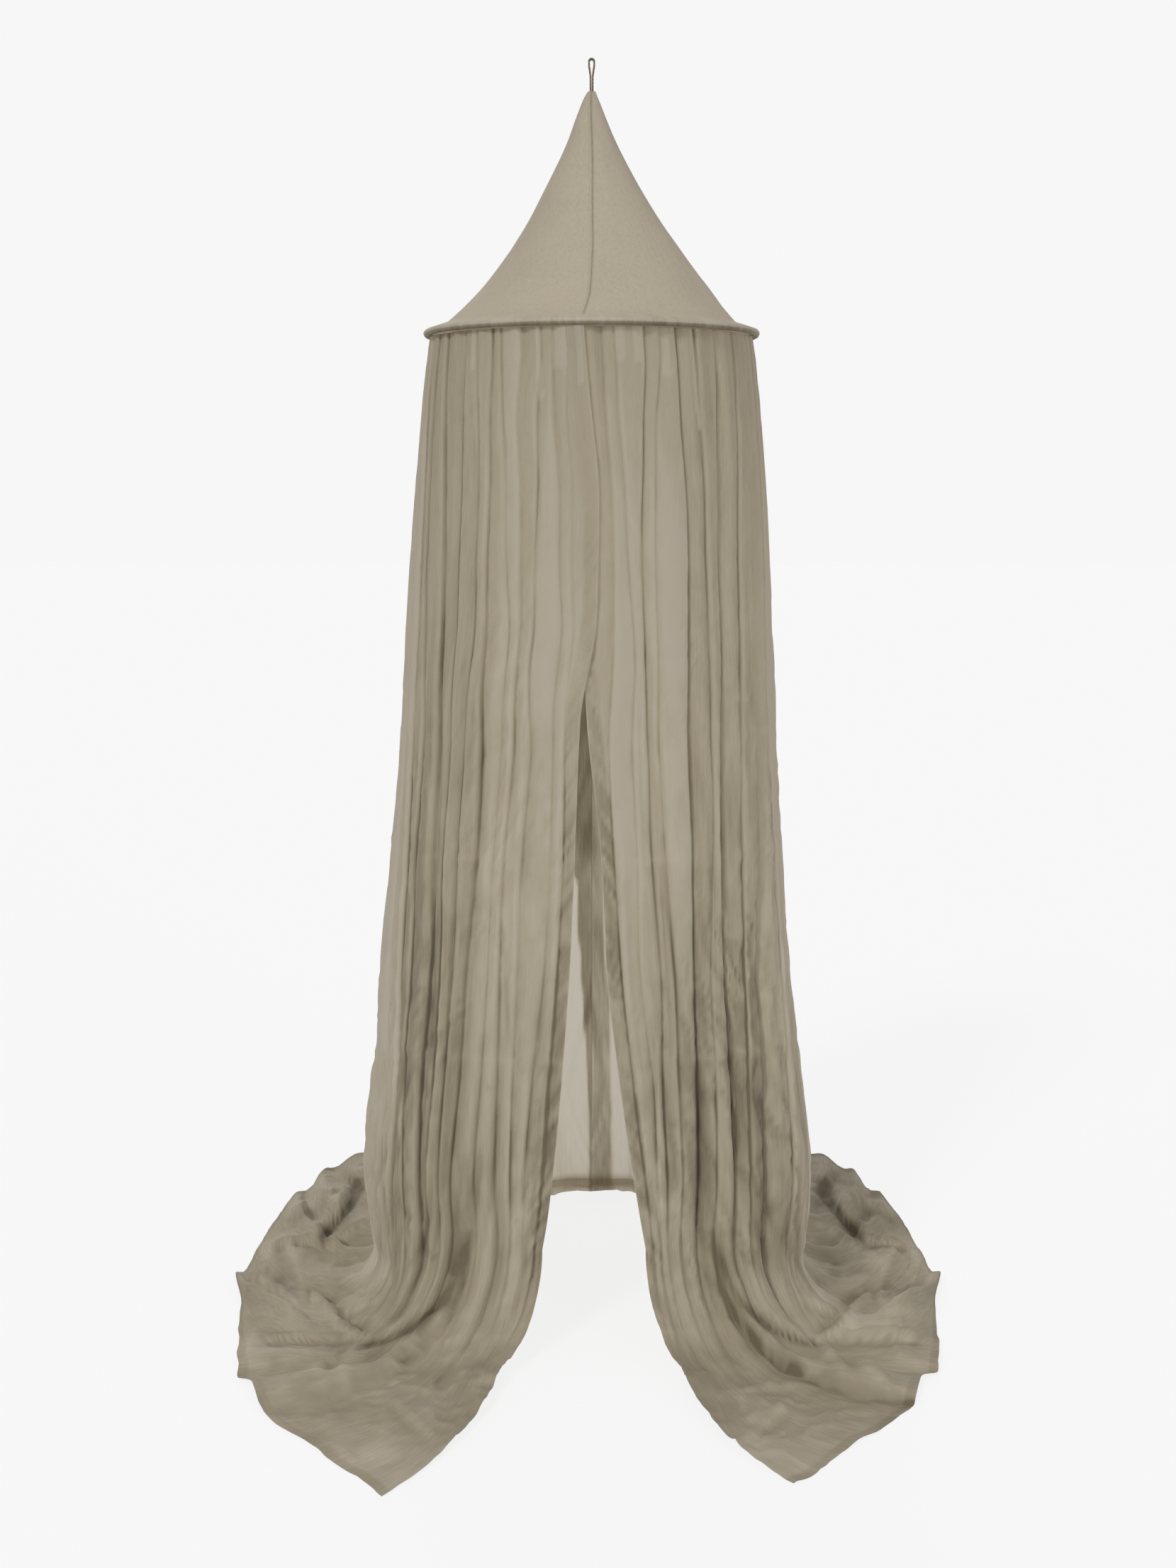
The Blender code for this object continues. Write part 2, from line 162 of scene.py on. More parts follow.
# The tape's section: a flat strip with soft selvedges, as shares of half its thickness and width
TAPE_SECTION = ((1, -0.86), (1, 0), (1, 0.86), (0.7, 1), (-0.7, 1))
TAPE_SECTION += tuple((-thick, -wide) for thick, wide in TAPE_SECTION)
loop_points, loop_faces = [], []
for (x, z), (out_x, out_z) in zip(loop_path, loop_out):
    for thick, wide in TAPE_SECTION:
        reach = thick * TAPE / 2
        loop_points.append((x + out_x * reach, wide * TAPE_WIDTH / 2, z + out_z * reach))
ring = len(TAPE_SECTION)
for i in range(len(loop_path) - 1):
    for j in range(ring):
        a, b = i * ring + j, i * ring + (j + 1) % ring
        loop_faces.append((a, b, b + ring, a + ring))
loop_faces.append(tuple(reversed(range(ring))))
loop_faces.append(tuple(range(len(loop_points) - ring, len(loop_points))))
loop = new_piece("tape_loop", loop_points, loop_faces, cotton_tape("cotton_tape"))
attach(loop, "root")
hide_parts("hanging_loop")


# Hood
# A cone cut from the same thin cotton as the skirt, stretched between the loop and the hoop so
# that it curves in, closed by one felled seam down the front. Its lower edge is turned round the
# hoop and stitched, which makes the rim.
HOOP_HEIGHT = 1.449
HOOP_RADIUS = 0.2445
CASING_RADIUS = 0.0049
CASING_FROM = 74  # degrees round the rod
CASING_TO = -190
HOOD_COLUMNS = 288
HOOD_PROFILE = (
    # height, radius, lean
    (1.797, 0.0056, 0.000),
    (1.787, 0.0105, -0.001),
    (1.767, 0.0188, -0.001),
    (1.727, 0.0350, 0.000),
    (1.686, 0.0554, 0.001),
    (1.646, 0.0775, 0.002),
    (1.605, 0.1018, 0.004),
    (1.565, 0.1288, 0.006),
    (1.524, 0.1600, 0.006),
    (1.489, 0.1900, 0.003),
    (1.463, 0.2165, 0.000),
)
SEAM_LINE = (
    # height, angle from straight ahead
    (1.463, -0.050),
    (1.474, -0.042),
    (1.490, -0.032),
    (1.520, -0.040),
    (1.600, -0.030),
    (1.700, 0.010),
    (1.797, 0.000),
)
HOOD_CREASES = (
    # rise, half width, points of angle and height
    (-0.0010, 0.0050, ((0.08, 1.695), (0.147, 1.664), (0.22, 1.638))),
    (-0.0012, 0.0050, ((0.13, 1.620), (0.314, 1.578))),
    (0.0008, 0.0060, ((0.15, 1.628), (0.330, 1.590))),
    (-0.0009, 0.0060, ((-0.25, 1.600), (-0.10, 1.530))),
    (0.0008, 0.0070, ((-0.55, 1.540), (-0.30, 1.490))),
    (-0.0008, 0.0060, ((0.55, 1.540), (0.72, 1.495))),
)
SEAM_HALF = 0.0030  # half the width of the felled seam
SEAM_RISE = 0.0010
STITCHES_AT = 0.0042  # how far left of the seam its stitches run
STITCH_HALF = 0.0009
BUNCHED = 0.42  # the angle at which the rim's cloth is drawn up most
HOOD_SHEET = 0.0008  # how thick the hood's cloth is drawn
SLUB_WIDE = 3.5  # mm
SLUB_LONG = 45  # mm
YARN_DRAWN = 1.1  # mm; the real yarns are 0.3 mm apart, too fine for the picture
CRUMPLES = (95, 95, 34)  # how many small crumples to the metre, across and down the cloth
# The cloth's colour, from three layers in shade to a single one in full light
CLOTH_COLOURS = (
    # place, colour
    (0.20, "#6F6553"),
    (0.45, "#9C927E"),
    (0.62, "#BAB09D"),
    (0.80, "#D4CBB9"),
    (1.00, "#DFD8CA"),
)


def blend(t):
    """Goes from 0 to 1 with a level start and end."""
    t = np.clip(t, 0.0, 1.0)
    return t * t * (3 - 2 * t)


def bell(away, width):
    """1 in the middle, and almost nothing from two widths away."""
    return np.exp(-((away / width) ** 2))


def reader(table, index):
    """Reads a table's column at any place between its rows, on a curve that never overshoots them."""
    rows = sorted(table)
    keys = np.array([row[0] for row in rows], float)
    values = np.array([row[index] for row in rows], float)
    slopes = np.diff(values) / np.diff(keys)
    tangents = np.zeros(len(keys))
    rising = slopes[:-1] * slopes[1:] > 0
    tangents[1:-1][rising] = 2 / (1 / slopes[:-1][rising] + 1 / slopes[1:][rising])
    tangents[0], tangents[-1] = slopes[0], slopes[-1]

    def read(at):
        at = np.clip(at, keys[0], keys[-1])
        i = np.clip(np.searchsorted(keys, at, side="right") - 1, 0, len(keys) - 2)
        width = keys[i + 1] - keys[i]
        t = (at - keys[i]) / width
        return (
            (1 + 2 * t) * (1 - t) ** 2 * values[i]
            + t * (1 - t) ** 2 * width * tangents[i]
            + t * t * (3 - 2 * t) * values[i + 1]
            - t * t * (1 - t) * width * tangents[i + 1]
        )

    return read


def uneven(across, down, seed):
    """Smooth random unevenness between -1 and 1, one lump to each whole number across and down."""
    grid = np.random.default_rng(seed).uniform(-1, 1, (64, 64))
    a, b = np.floor(across).astype(int), np.floor(down).astype(int)
    s, t = blend(across - a), blend(down - b)
    read = lambda i, j: grid[(a + i) % 64, (b + j) % 64]
    return (read(0, 0) * (1 - s) + read(1, 0) * s) * (1 - t) + (read(0, 1) * (1 - s) + read(1, 1) * s) * t


def thin_cotton(name, through, creasing):
    """Thin plain-woven cotton: dull and slubby, and paler and clearer where its tone is higher. The tone
    holds how many layers lie together and painted shade and highlights.
    """
    dull = {"Roughness": 0.9, "Sheen Weight": 0.10, "Specular IOR Level": 0.15}
    finish, tree, shader = new_finish(name, dull)
    place = add_node(tree, "Attribute", {"attribute_name": "cloth"}).outputs["Vector"]
    tone = add_node(tree, "Attribute", {"attribute_name": "tone"}).outputs["Fac"]
    slub_scale = (1000 / SLUB_WIDE, 1000 / SLUB_WIDE, 1000 / SLUB_LONG)
    slub_size = add_node(tree, "Mapping", {"Scale": slub_scale}, {"Vector": place}).outputs[0]
    slub = noise(tree, slub_size, 1.0, 3.0)
    yarn = noise(tree, place, 1000 / YARN_DRAWN, 1.0)
    patch = noise(tree, place, 9.0, 4.0)
    worn = add_node(tree, "Math", {"operation": "MULTIPLY_ADD", 1: 0.24, 2: -0.12}, {0: patch})
    worn = worn.outputs[0]
    lined = add_node(tree, "Math", {"operation": "MULTIPLY_ADD", 1: 0.22}, {0: slub, 2: worn})
    level = add_node(tree, "Math", {"operation": "ADD"}, {0: lined.outputs[0], 1: tone}).outputs[0]
    ramp = add_node(tree, "ValToRGB", None, {"Fac": level})
    stops = ramp.color_ramp.elements
    for stop, (position, colour) in zip(stops, (CLOTH_COLOURS[0], CLOTH_COLOURS[-1])):
        stop.position = position
        stop.color = linear(colour)
    for position, colour in CLOTH_COLOURS[1:-1]:
        stops.new(position).color = linear(colour)
    crumple_size = add_node(tree, "Mapping", {"Scale": CRUMPLES}, {"Vector": place}).outputs[0]
    crumple = noise(tree, crumple_size, 1.0, 5.0, 0.5)
    soft = add_node(tree, "Bump", {"Strength": creasing, "Distance": 0.0016}, {"Height": crumple})
    above = {"Height": yarn, "Normal": soft.outputs[0]}
    fine = add_node(tree, "Bump", {"Strength": 0.35, "Distance": 0.0003}, above).outputs[0]
    tree.links.new(ramp.outputs[0], shader.inputs["Base Color"])
    tree.links.new(fine, shader.inputs["Normal"])
    glow = add_node(tree, "BsdfTranslucent", None, {"Color": ramp.outputs[0], "Normal": fine})
    sheer = {"From Min": 0.35, "From Max": 0.82, "To Min": 0.12, "To Max": through}
    clear = add_node(tree, "MapRange", sheer, {"Value": level}).outputs[0]
    both = add_node(tree, "MixShader", None, {0: clear, 1: shader.outputs[0], 2: glow.outputs[0]})
    tree.links.new(both.outputs[0], tree.nodes["Material Output"].inputs["Surface"])
    return finish


def grid_faces(columns, rows, closed):
    """The faces between neighbours of a grid whose points run row by row."""
    last = columns if closed else columns - 1
    c, r = np.meshgrid(np.arange(last), np.arange(rows - 1))
    a, b = r * columns + c, r * columns + (c + 1) % columns
    return np.stack([a, b, b + columns, a + columns], axis=-1).reshape(-1, 4)


def set_cloth(piece, tone, place):
    """Keeps each point's tone, with its painted shade and highlights, and its place on the cloth in metres,
    for its finish to read.
    """
    tones = piece.data.attributes.new("tone", "FLOAT", "POINT").data
    tones.foreach_set("value", np.ravel(tone).astype(np.float32))
    places = piece.data.attributes.new("cloth", "FLOAT_VECTOR", "POINT").data
    places.foreach_set("vector", np.ravel(place).astype(np.float32))


def near_line(across, down, points):
    """How far each place is from a line of points, and how far along the line it is."""
    nearest = np.full(np.shape(across), 1e9)
    along = np.zeros(np.shape(across))
    lengths = [math.dist(a, b) for a, b in zip(points, points[1:])]
    before = 0.0
    for (ax, ay), (bx, by), length in zip(points, points[1:], lengths):
        dx, dy = (bx - ax) / length, (by - ay) / length
        t = np.clip((across - ax) * dx + (down - ay) * dy, 0, length)
        away = np.hypot(across - ax - dx * t, down - ay - dy * t)
        closer = away < nearest
        nearest = np.where(closer, away, nearest)
        along = np.where(closer, (before + t) / sum(lengths), along)
        before += length
    return nearest, along


def soft_line(away, along, width, ends=0.45):
    """A crease's shape: sharp in its middle, and fading to its sides and both ends."""
    core = 0.6 * bell(away, width) + 0.4 * np.exp(-away / (2 * width))
    return core * np.sin(math.pi * np.clip(along, 0.03, 0.97)) ** ends


hood_radius, hood_lean = reader(HOOD_PROFILE, 1), reader(HOOD_PROFILE, 2)
cone_heights = np.concatenate([np.linspace(1.797, 1.757, 12), np.linspace(1.750, 1.463, 72)])
cone = [(float(hood_radius(h)), h, float(hood_lean(h))) for h in cone_heights]
casing_turns = np.radians(np.linspace(CASING_FROM, CASING_TO, 21))
for a in casing_turns:
    cone.append((HOOP_RADIUS + CASING_RADIUS * math.cos(a), HOOP_HEIGHT + CASING_RADIUS * math.sin(a), 0.0))
cone_rows, cone_count = np.array(cone), len(cone_heights)
even = np.linspace(0, 2 * math.pi, HOOD_COLUMNS, endpoint=False)
turn = even - 0.80 * np.sin(even)  # columns lie closer together at the seam
radius, height, lean = (np.repeat(cone_rows[:, i : i + 1], HOOD_COLUMNS, axis=1) for i in range(3))
around = np.repeat(turn[None, :], len(cone_rows), axis=0)
from_front = (around + math.pi) % (2 * math.pi) - math.pi  # 0 straight ahead, positive to the right
on_cone = np.arange(len(cone_rows))[:, None] < cone_count
seam_away = (from_front - np.interp(height, *zip(*SEAM_LINE))) * radius
seam = np.where(on_cone, bell(seam_away, SEAM_HALF), 0)
stitches = np.where(on_cone, bell(seam_away + STITCHES_AT, STITCH_HALF), 0)
sag = 0.0012 * uneven(from_front * 4, (height - 1.4) * 18, 3) * blend((radius - 0.02) / 0.05)
sag = sag + 0.0005 * uneven(from_front * 40, (height - 1.4) * 26, 4) * blend((radius - 0.05) / 0.12)
creases = np.zeros(radius.shape)
for rise, width, points in HOOD_CREASES:
    line = [(a * float(hood_radius(h)), h) for a, h in points]
    away, along = near_line(from_front * radius, height, line)
    creases = creases + rise * soft_line(away, along, width)
gathers = 0.0005 * uneven(from_front * 60, height * 0 + 2, 5)
gathers = gathers + 0.0009 * uneven(from_front * 35, height * 90, 6) * bell(from_front - BUNCHED, 0.20)
radius = radius + seam * SEAM_RISE - stitches * 0.0004 + np.where(on_cone, sag + creases, gathers)
x = radius * np.sin(from_front) + lean
y = -radius * np.cos(from_front)
hood_points = np.stack([x, y, height + FLOOR], axis=-1)
hood = new_piece(
    "hood_cloth",
    hood_points.reshape(-1, 3),
    grid_faces(HOOD_COLUMNS, len(cone_rows), True).tolist(),
    thin_cotton("stretched_cotton", 0.50, 0.10),
)
row_number = np.arange(len(cone_rows))[:, None]
casing_row = np.clip((row_number - cone_count) / (len(cone_rows) - cone_count), 0, 1)
hood_tone = 0.675 - 0.40 * bell(seam_away, SEAM_HALF / 2) - 0.08 * stitches
stitched = 0.10 * bell(height - 1.4655, 0.0012)
# Painted light and shade: the casing's rounded top is painted pale as if lit, and its underside dark as if in
# shade, with small random patches.
rim_tone_and_shade = 0.74 - 0.46 * blend((casing_row - 0.23) / 0.08) + 0.10 * uneven(from_front * 50, height * 0, 8)
to_side = np.abs(from_front)
# Paler towards the rim's sides, and darker where its cloth is drawn up.
rim_tone_and_shade = rim_tone_and_shade + 0.45 * blend((to_side - 1.15) / 0.30) * blend((2.2 - to_side) / 0.4)
bunches = 0.5 + 0.5 * uneven(from_front * 45, height * 90, 9)
rim_tone_and_shade = rim_tone_and_shade - 0.12 * bell(from_front - BUNCHED, 0.16) * bunches
set_cloth(hood, np.where(on_cone, hood_tone - stitched, rim_tone_and_shade), hood_points)
thick = hood.modifiers.new("Cloth", "SOLIDIFY")
thick.thickness = HOOD_SHEET
thick.offset = 0
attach(hood, "root")
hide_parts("hood")


# Hoop
# A plain round rod bent to a ring, seen only from inside as a line under the hood's casing.
hoop_rod, rod_tree, rod_shader = new_finish("pale_rod", {"Roughness": 0.45})
rod_place = add_node(rod_tree, "TexCoord").outputs["Object"]
two_tints(rod_tree, rod_shader, "#C3BDB0", "#D2CDC2", noise(rod_tree, rod_place, 60.0, 3.0))
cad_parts["hoop"].data.materials.clear()
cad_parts["hoop"].data.materials.append(hoop_rod)


# Skirt
# One wide sheet of thin crinkled cotton, knife-pleated into the hood's rim. It is open down the
# front, where its two edges lap at the top, hangs in soft folds that follow its pleats, and its
# spare length is spread on the floor as a train. Its side and bottom edges are turned and stitched.


def thousandths(value):
    """Divides by 1000 all through a table, so that millimetres become metres."""
    if isinstance(value, (tuple, list)):
        return [thousandths(item) for item in value]
    return value / 1000


PLEATS_A_SIDE = 23
SKIRT_TOP = 1.4428
CLOTH = 0.0016
ACROSS_CLOTH = 1.3  # how far one side's cloth counts as reaching, for its weave
HANGING = (
    # height, left, right, front, back, square, left edge, right edge
    (1.4428, 0.2405, 0.2405, 0.2405, 0.2405, 2.0, -0.011, -0.036),
    (1.360, 0.2510, 0.2510, 0.2460, 0.2430, 2.0, -0.004, -0.030),
    (1.200, 0.2665, 0.2655, 0.2580, 0.2480, 2.1, 0.010, -0.018),
    (1.050, 0.2785, 0.2750, 0.2690, 0.2530, 2.2, 0.007, -0.014),
    (0.900, 0.2870, 0.2830, 0.2790, 0.2570, 2.4, -0.016, -0.007),
    (0.700, 0.3045, 0.2970, 0.2910, 0.2630, 2.7, -0.024, 0.014),
    (0.550, 0.3210, 0.3090, 0.3000, 0.2670, 3.0, -0.031, 0.021),
    (0.400, 0.3310, 0.3255, 0.3090, 0.2710, 3.3, -0.042, 0.038),
    (0.200, 0.3510, 0.3450, 0.3220, 0.2770, 3.8, -0.062, 0.068),
    (0.030, 0.3300, 0.3260, 0.3310, 0.2810, 4.0, -0.096, 0.100),
)
BACK_SQUARE = 2.2
TRAIN = thousandths((
    # across and foot in thousandths of the way round, then millimetres: lift, landing x and y,
    # pull x and y, hem x and y
    (0, 0, 150, 124, -425, 150, -612, 256, -745),
    (80, 53, 160, 190, -436, 235, -580, 351, -633),
    (158, 106, 165, 262, -428, 345, -508, 441, -519),
    (200, 135, 160, 300, -416, 385, -455, 469, -442),
    (215, 150, 155, 312, -409, 398, -438, 488, -424),
    (290, 205, 120, 350, -362, 445, -360, 515, -281),
    (355, 245, 95, 368, -322, 470, -300, 531, -169),
    (406, 275, 85, 378, -285, 488, -232, 554, -76),
    (425, 295, 80, 380, -255, 490, -196, 545, -45),
    (540, 430, 70, 392, -80, 500, 10, 535, 172),
    (640, 550, 60, 388, 60, 480, 170, 492, 345),
    (710, 640, 55, 366, 160, 440, 290, 456, 458),
    (840, 800, 45, 240, 290, 285, 420, 290, 575),
    (1000, 1000, 40, 0, 335, 0, 480, 0, 640),
))
RIGHT_REACH = (0.982, 0.965)  # the right train's hem is a little nearer, sideways and to the front
FLOOR_FOLDS = thousandths((
    # across, near and far in thousandths of the way round, then millimetres: landing, half way, hem
    (85, 30, 40, 5, 4, 2),
    (172, 16, 60, 22, 30, 12),
    (245, 45, 60, 14, 24, 8),
    (400, 90, 24, 10, 34, 14),
    (455, 20, 30, 6, 7, 4),
    (600, 40, 24, 14, 24, 10),
    (665, 32, 32, 24, 24, 13),
    (735, 32, 34, 22, 18, 10),
    (820, 30, 34, 16, 16, 8),
    (915, 34, 34, 18, 14, 8),
))
PLEAT_PLACES = (
    # pleat, thousandths left at hoop, left on train, right at hoop, right on train
    (1, 33, 30, 60, 10),
    (2, 60, 50, 82, 25),
    (3, 82, 70, 137, 50),
    (4, 121, 98, 165, 80),
    (5, 165, 140, 198, 113),
    (6, 181, 190, 236, 150),
    (7, 220, 215, 286, 196),
    (8, 253, 243, 341, 228),
    (9, 319, 268, 396, 270),
    (10, 358, 303, 435, 310),
)
MAIN_FOLDS = {"left": (
    # pleat, millimetres at hoop, half way, at foot
    (2, 5, 10, 16),
    (4, 5, 9, 18),
    (6, 4, 12, 20),
    (9, 6, 13, 20),
    (13, 5, 12, 16),
    (18, 5, 15, 20),
), "right": (
    (1, 4, 10, 14),
    (3, 5, 12, 16),
    (5, 6, 14, 22),
    (7, 5, 12, 20),
    (9, 6, 15, 20),
    (13, 5, 10, 14),
    (18, 5, 14, 18),
)}
BROAD_WAVES = 0.010
LAP_RISE = 0.0050
LAP_WIDTH = 0.11
FLAT_EDGE = 0.055
FOOT_TUCK = 0.034  # how far the back's foot turns in under itself
CREASE_SCALE = 1.35  # how much higher the train's creases are built than measured in the picture
LOWEST = 0.0006  # how near the floor the middle of the cloth comes
# How each pleat of the front half wanders on its way down, as a share of the outline
PATH_HEIGHTS = (1.42, 1.30, 1.15, 1.00, 0.85, 0.70, 0.55, 0.40, 0.25, 0.12)
PLEAT_PATHS = {"left": (
    # pleat, thousandths at each of the heights
    (1, 33, 44, 44, 33, 22, 18, 18, 18, 14, 12),
    (2, 60, 66, 65, 52, 41, 38, 38, 43, 40, 28),
    (3, 82, 98, 104, 99, 77, 83, 77, 72, 60, 45),
    (4, 121, 137, 131, 121, 106, 111, 105, 95, 83, 62),
    (5, 165, 164, 159, 140, 128, 129, 123, 119, 113, 92),
    (6, 184, 192, 193, 183, 163, 158, 159, 155, 150, 130),
    (7, 220, 216, 215, 206, 198, 194, 183, 180, 169, 150),
    (8, 253, 258, 255, 246, 228, 224, 207, 199, 189, 169),
    (9, 319, 314, 300, 287, 263, 254, 232, 230, 208, 188),
    (10, 358, 364, 357, 339, 310, 308, 281, 273, 239, 214),
), "right": (
    (1, 60, 55, 55, 49, 30, 20, 22, 20, 16, 10),
    (2, 82, 76, 77, 83, 66, 55, 49, 49, 33, 20),
    (3, 137, 120, 104, 102, 94, 80, 83, 66, 49, 32),
    (4, 165, 142, 126, 122, 111, 102, 103, 89, 72, 51),
    (5, 198, 192, 188, 178, 163, 147, 136, 119, 96, 75),
    (6, 236, 230, 221, 218, 204, 183, 162, 145, 121, 100),
    (7, 286, 269, 252, 247, 227, 203, 190, 174, 152, 132),
    (8, 341, 325, 298, 287, 268, 242, 227, 205, 177, 158),
    (9, 396, 370, 357, 328, 315, 290, 258, 243, 209, 190),
)}
# How many layers of the thin cloth lie over each other between one pleat and the next: one lets most light
# through and looks pale, three look dark. The counts also carry painted shade, darker where the cloth lies in
# shadow.
LAYER_HEIGHTS = (1.40, 1.05, 0.70, 0.40, 0.10)
LAYERS_AND_SHADE = {"left": (
    # pleat, tenths of a layer at each of the heights
    (0, 20, 12, 20, 20, 24),
    (1, 18, 12, 13, 20, 24),
    (2, 20, 10, 15, 18, 22),
    (3, 20, 17, 12, 15, 22),
    (4, 14, 13, 14, 15, 22),
    (5, 18, 16, 15, 20, 26),
    (6, 20, 22, 24, 26, 28),
    (7, 23, 22, 24, 26, 25),
    (8, 22, 22, 24, 25, 26),
    (9, 24, 22, 26, 26, 25),
    (10, 24, 23, 25, 26, 26),
), "right": (
    (0, 22, 16, 20, 20, 21),
    (1, 20, 11, 11, 20, 21),
    (2, 19, 14, 14, 21, 21),
    (3, 21, 14, 18, 20, 24),
    (4, 18, 12, 13, 22, 20),
    (5, 22, 23, 23, 24, 21),
    (6, 24, 21, 22, 22, 19),
    (7, 23, 19, 23, 23, 19),
    (8, 23, 21, 24, 25, 27),
    (9, 22, 17, 18, 18, 24),
    (10, 22, 10, 10, 18, 24),
    (11, 20, 8, 9, 17, 22),
)}
# Narrow strips of single cloth that show beside a pleat's edge under the rim, painted paler as if lit through
# from behind
STRIPS = {"left": (
    # share at hoop, half width, lowest height, how pale
    (0.013, 0.0040, 1.365, 1.0),
    (0.048, 0.0100, 1.388, 0.9),
    (0.088, 0.0030, 1.340, 0.7),
    (0.140, 0.0110, 1.395, 1.0),
    (0.232, 0.0045, 1.385, 1.1),
), "right": (
    (0.090, 0.0050, 1.392, 0.7),
    (0.125, 0.0060, 1.395, 0.9),
    (0.172, 0.0080, 1.370, 0.7),
    (0.228, 0.0030, 1.300, 1.2),
    (0.290, 0.0030, 1.380, 0.8),
)}
# Creases of the hanging cloth, each along points of side to side place and height
HANGING_CREASES = {"left": (
    # depth, half width and points, all in millimetres
    (4, 4.5, ((-125, 568), (-125, 508), (-115, 428), (-91, 396))),
    (3.5, 4.5, ((-91, 396), (-78, 416), (-71, 496), (-67, 560))),
    (-3, 4, ((-231, 452), (-226, 456), (-195, 484), (-180, 500))),
    (2.5, 3.5, ((-226, 448), (-195, 476), (-180, 492))),
    (2.5, 3.5, ((-160, 388), (-133, 368))),
    (2, 4, ((-109, 724), (-95, 692), (-99, 640))),
    (2, 3.5, ((-68, 632), (-61, 568))),
    (-2.2, 3.5, ((-200, 716), (-163, 812))),
    (3.5, 4, ((-252, 140), (-236, 125), (-221, 128))),
    (3, 4.5, ((-295, 196), (-283, 176), (-249, 172))),
    (5, 5.5, ((-237, 240), (-240, 184), (-255, 144), (-277, 96))),
    (7, 7, ((-160, 290), (-170, 224), (-179, 172), (-200, 108))),
    (3, 4.5, ((-117, 256), (-115, 224), (-117, 208))),
    (-1.8, 2.5, ((-143, 196), (-96, 196), (-69, 192))),
    (4, 5, ((-303, 204), (-306, 128), (-305, 56))),
), "right": (
    (-2.4, 3, ((106, 784), (135, 828))),
    (5, 5, ((96, 788), (101, 744), (105, 640), (116, 560), (132, 468))),
    (5, 6, ((132, 468), (149, 396), (159, 308), (172, 230))),
    (7, 6, ((200, 420), (213, 392), (222, 350), (218, 320), (212, 276))),
    (2.5, 3, ((179, 688), (185, 632))),
    (4.5, 5, ((237, 240), (240, 184), (255, 144), (277, 96))),
    (6.5, 7, ((150, 290), (166, 224), (179, 172), (202, 108))),
    (3, 4, ((252, 135), (236, 120), (221, 126))),
    (3, 4.5, ((290, 196), (276, 180), (245, 176))),
    (-1.8, 2.5, ((140, 199), (100, 198), (74, 194))),
    (3.5, 5, ((300, 204), (303, 128), (302, 56))),
)}
# Creases of the train, seen from above, the same on both sides: along points of x and y
TRAIN_CREASES = thousandths((
    # rise, half width and points, all in millimetres
    (-14, 6, ((200, 128), (200, 22), (202, -97), (215, -224), (243, -325), (272, -393), (302, -427),
        (339, -457), (395, -486), (439, -501))),
    (12, 10, ((215, -90), (230, -213), (257, -312), (285, -378), (313, -411), (346, -440), (397, -469),
        (440, -484))),
    (-14, 8, ((203, 106), (213, -77), (230, -171), (263, -259), (308, -309), (322, -312))),
    (9, 9, ((228, -70), (246, -160), (280, -243), (318, -290))),
    (9, 8, ((328, -288), (381, -290), (442, -284), (499, -309))),
    (-7, 8, ((330, -306), (385, -308), (440, -302), (495, -327))),
    (11, 7, ((330, -292), (352, -266), (372, -245), (387, -215))),
    (-9, 7, ((324, -282), (345, -255), (362, -235))),
    (8, 7, ((333, -309), (345, -357), (353, -400))),
    (-8, 7, ((345, -312), (360, -357), (370, -395))),
    (-16, 6, ((442, 84), (434, 150), (421, 206), (412, 276), (420, 374))),
    (11, 9, ((459, 90), (451, 155), (438, 212), (429, 280), (434, 350))),
    (-7, 5, ((393, 252), (407, 300), (404, 349))),
    (10, 7, ((436, 69), (470, 84), (500, 74), (517, 53), (521, -9))),
    (-8, 7, ((438, 50), (472, 64), (498, 54), (509, 36))),
    (13, 6, ((552, -63), (513, -68), (483, -115), (455, -153), (418, -148), (404, -171), (380, -241),
        (360, -270))),
    (-10, 7, ((508, -50), (478, -97), (451, -134), (415, -129), (391, -163), (367, -233))),
    (8, 6, ((387, -215), (358, -189), (318, -143))),
    (-6, 6, ((383, -234), (352, -208), (313, -162))),
    (9, 10, ((428, 58), (402, 117), (370, 194))),
    (6, 6, ((496, 74), (464, -38), (438, -143))),
    (-5, 6, ((508, 60), (477, -50), (450, -120))),
    (7, 5, ((422, -68), (411, -115), (397, -139))),
    (7, 8, ((522, 300), (489, 312), (449, 294), (415, 300))),
    (7, 8, ((516, 206), (490, 252), (454, 206))),
    (-6, 8, ((510, 165), (486, 215), (458, 175))),
    (-8, 9, ((452, 427), (422, 371), (400, 309))),
    (6, 7, ((398, -397), (368, -365), (343, -309))),
    (6, 7, ((441, -450), (395, -420), (352, -412))),
    (5, 6, ((266, -486), (238, -543), (202, -598))),
    (-4, 6, ((277, -492), (249, -550), (213, -604))),
    (4, 5, ((221, -504), (210, -551))),
    (4, 5, ((194, -624), (165, -595))),
    (-4, 5, ((133, -335), (116, -300))),
    (4, 6, ((190, -360), (171, -431))),
    (-4, 7, ((116, -171), (134, -259), (130, -275))),
    (6, 8, ((502, -203), (470, -190), (430, -200))),
    (6, 8, ((520, -390), (470, -372), (420, -352))),
))
DEEP_CREASE = -0.013  # creases at least this deep look like dark lines
PACKET_MARKS = (0.697, 0.419)  # heights of the cross folds it keeps from its packet
EDGE_HEM = (0.015, 0.026)  # at the hoop and at the foot
FOOT_HEM = 0.016
# How much painted shade a fold's depth puts on the cloth, in layers to the metre
PLEAT_SHADE = 22
CREASE_SHADE = 260
TRAIN_SHADE = 64
ONE_LAYER = 0.775  # the tone of a single layer
LAYER_TONE = 0.215  # and how much darker each further one makes it


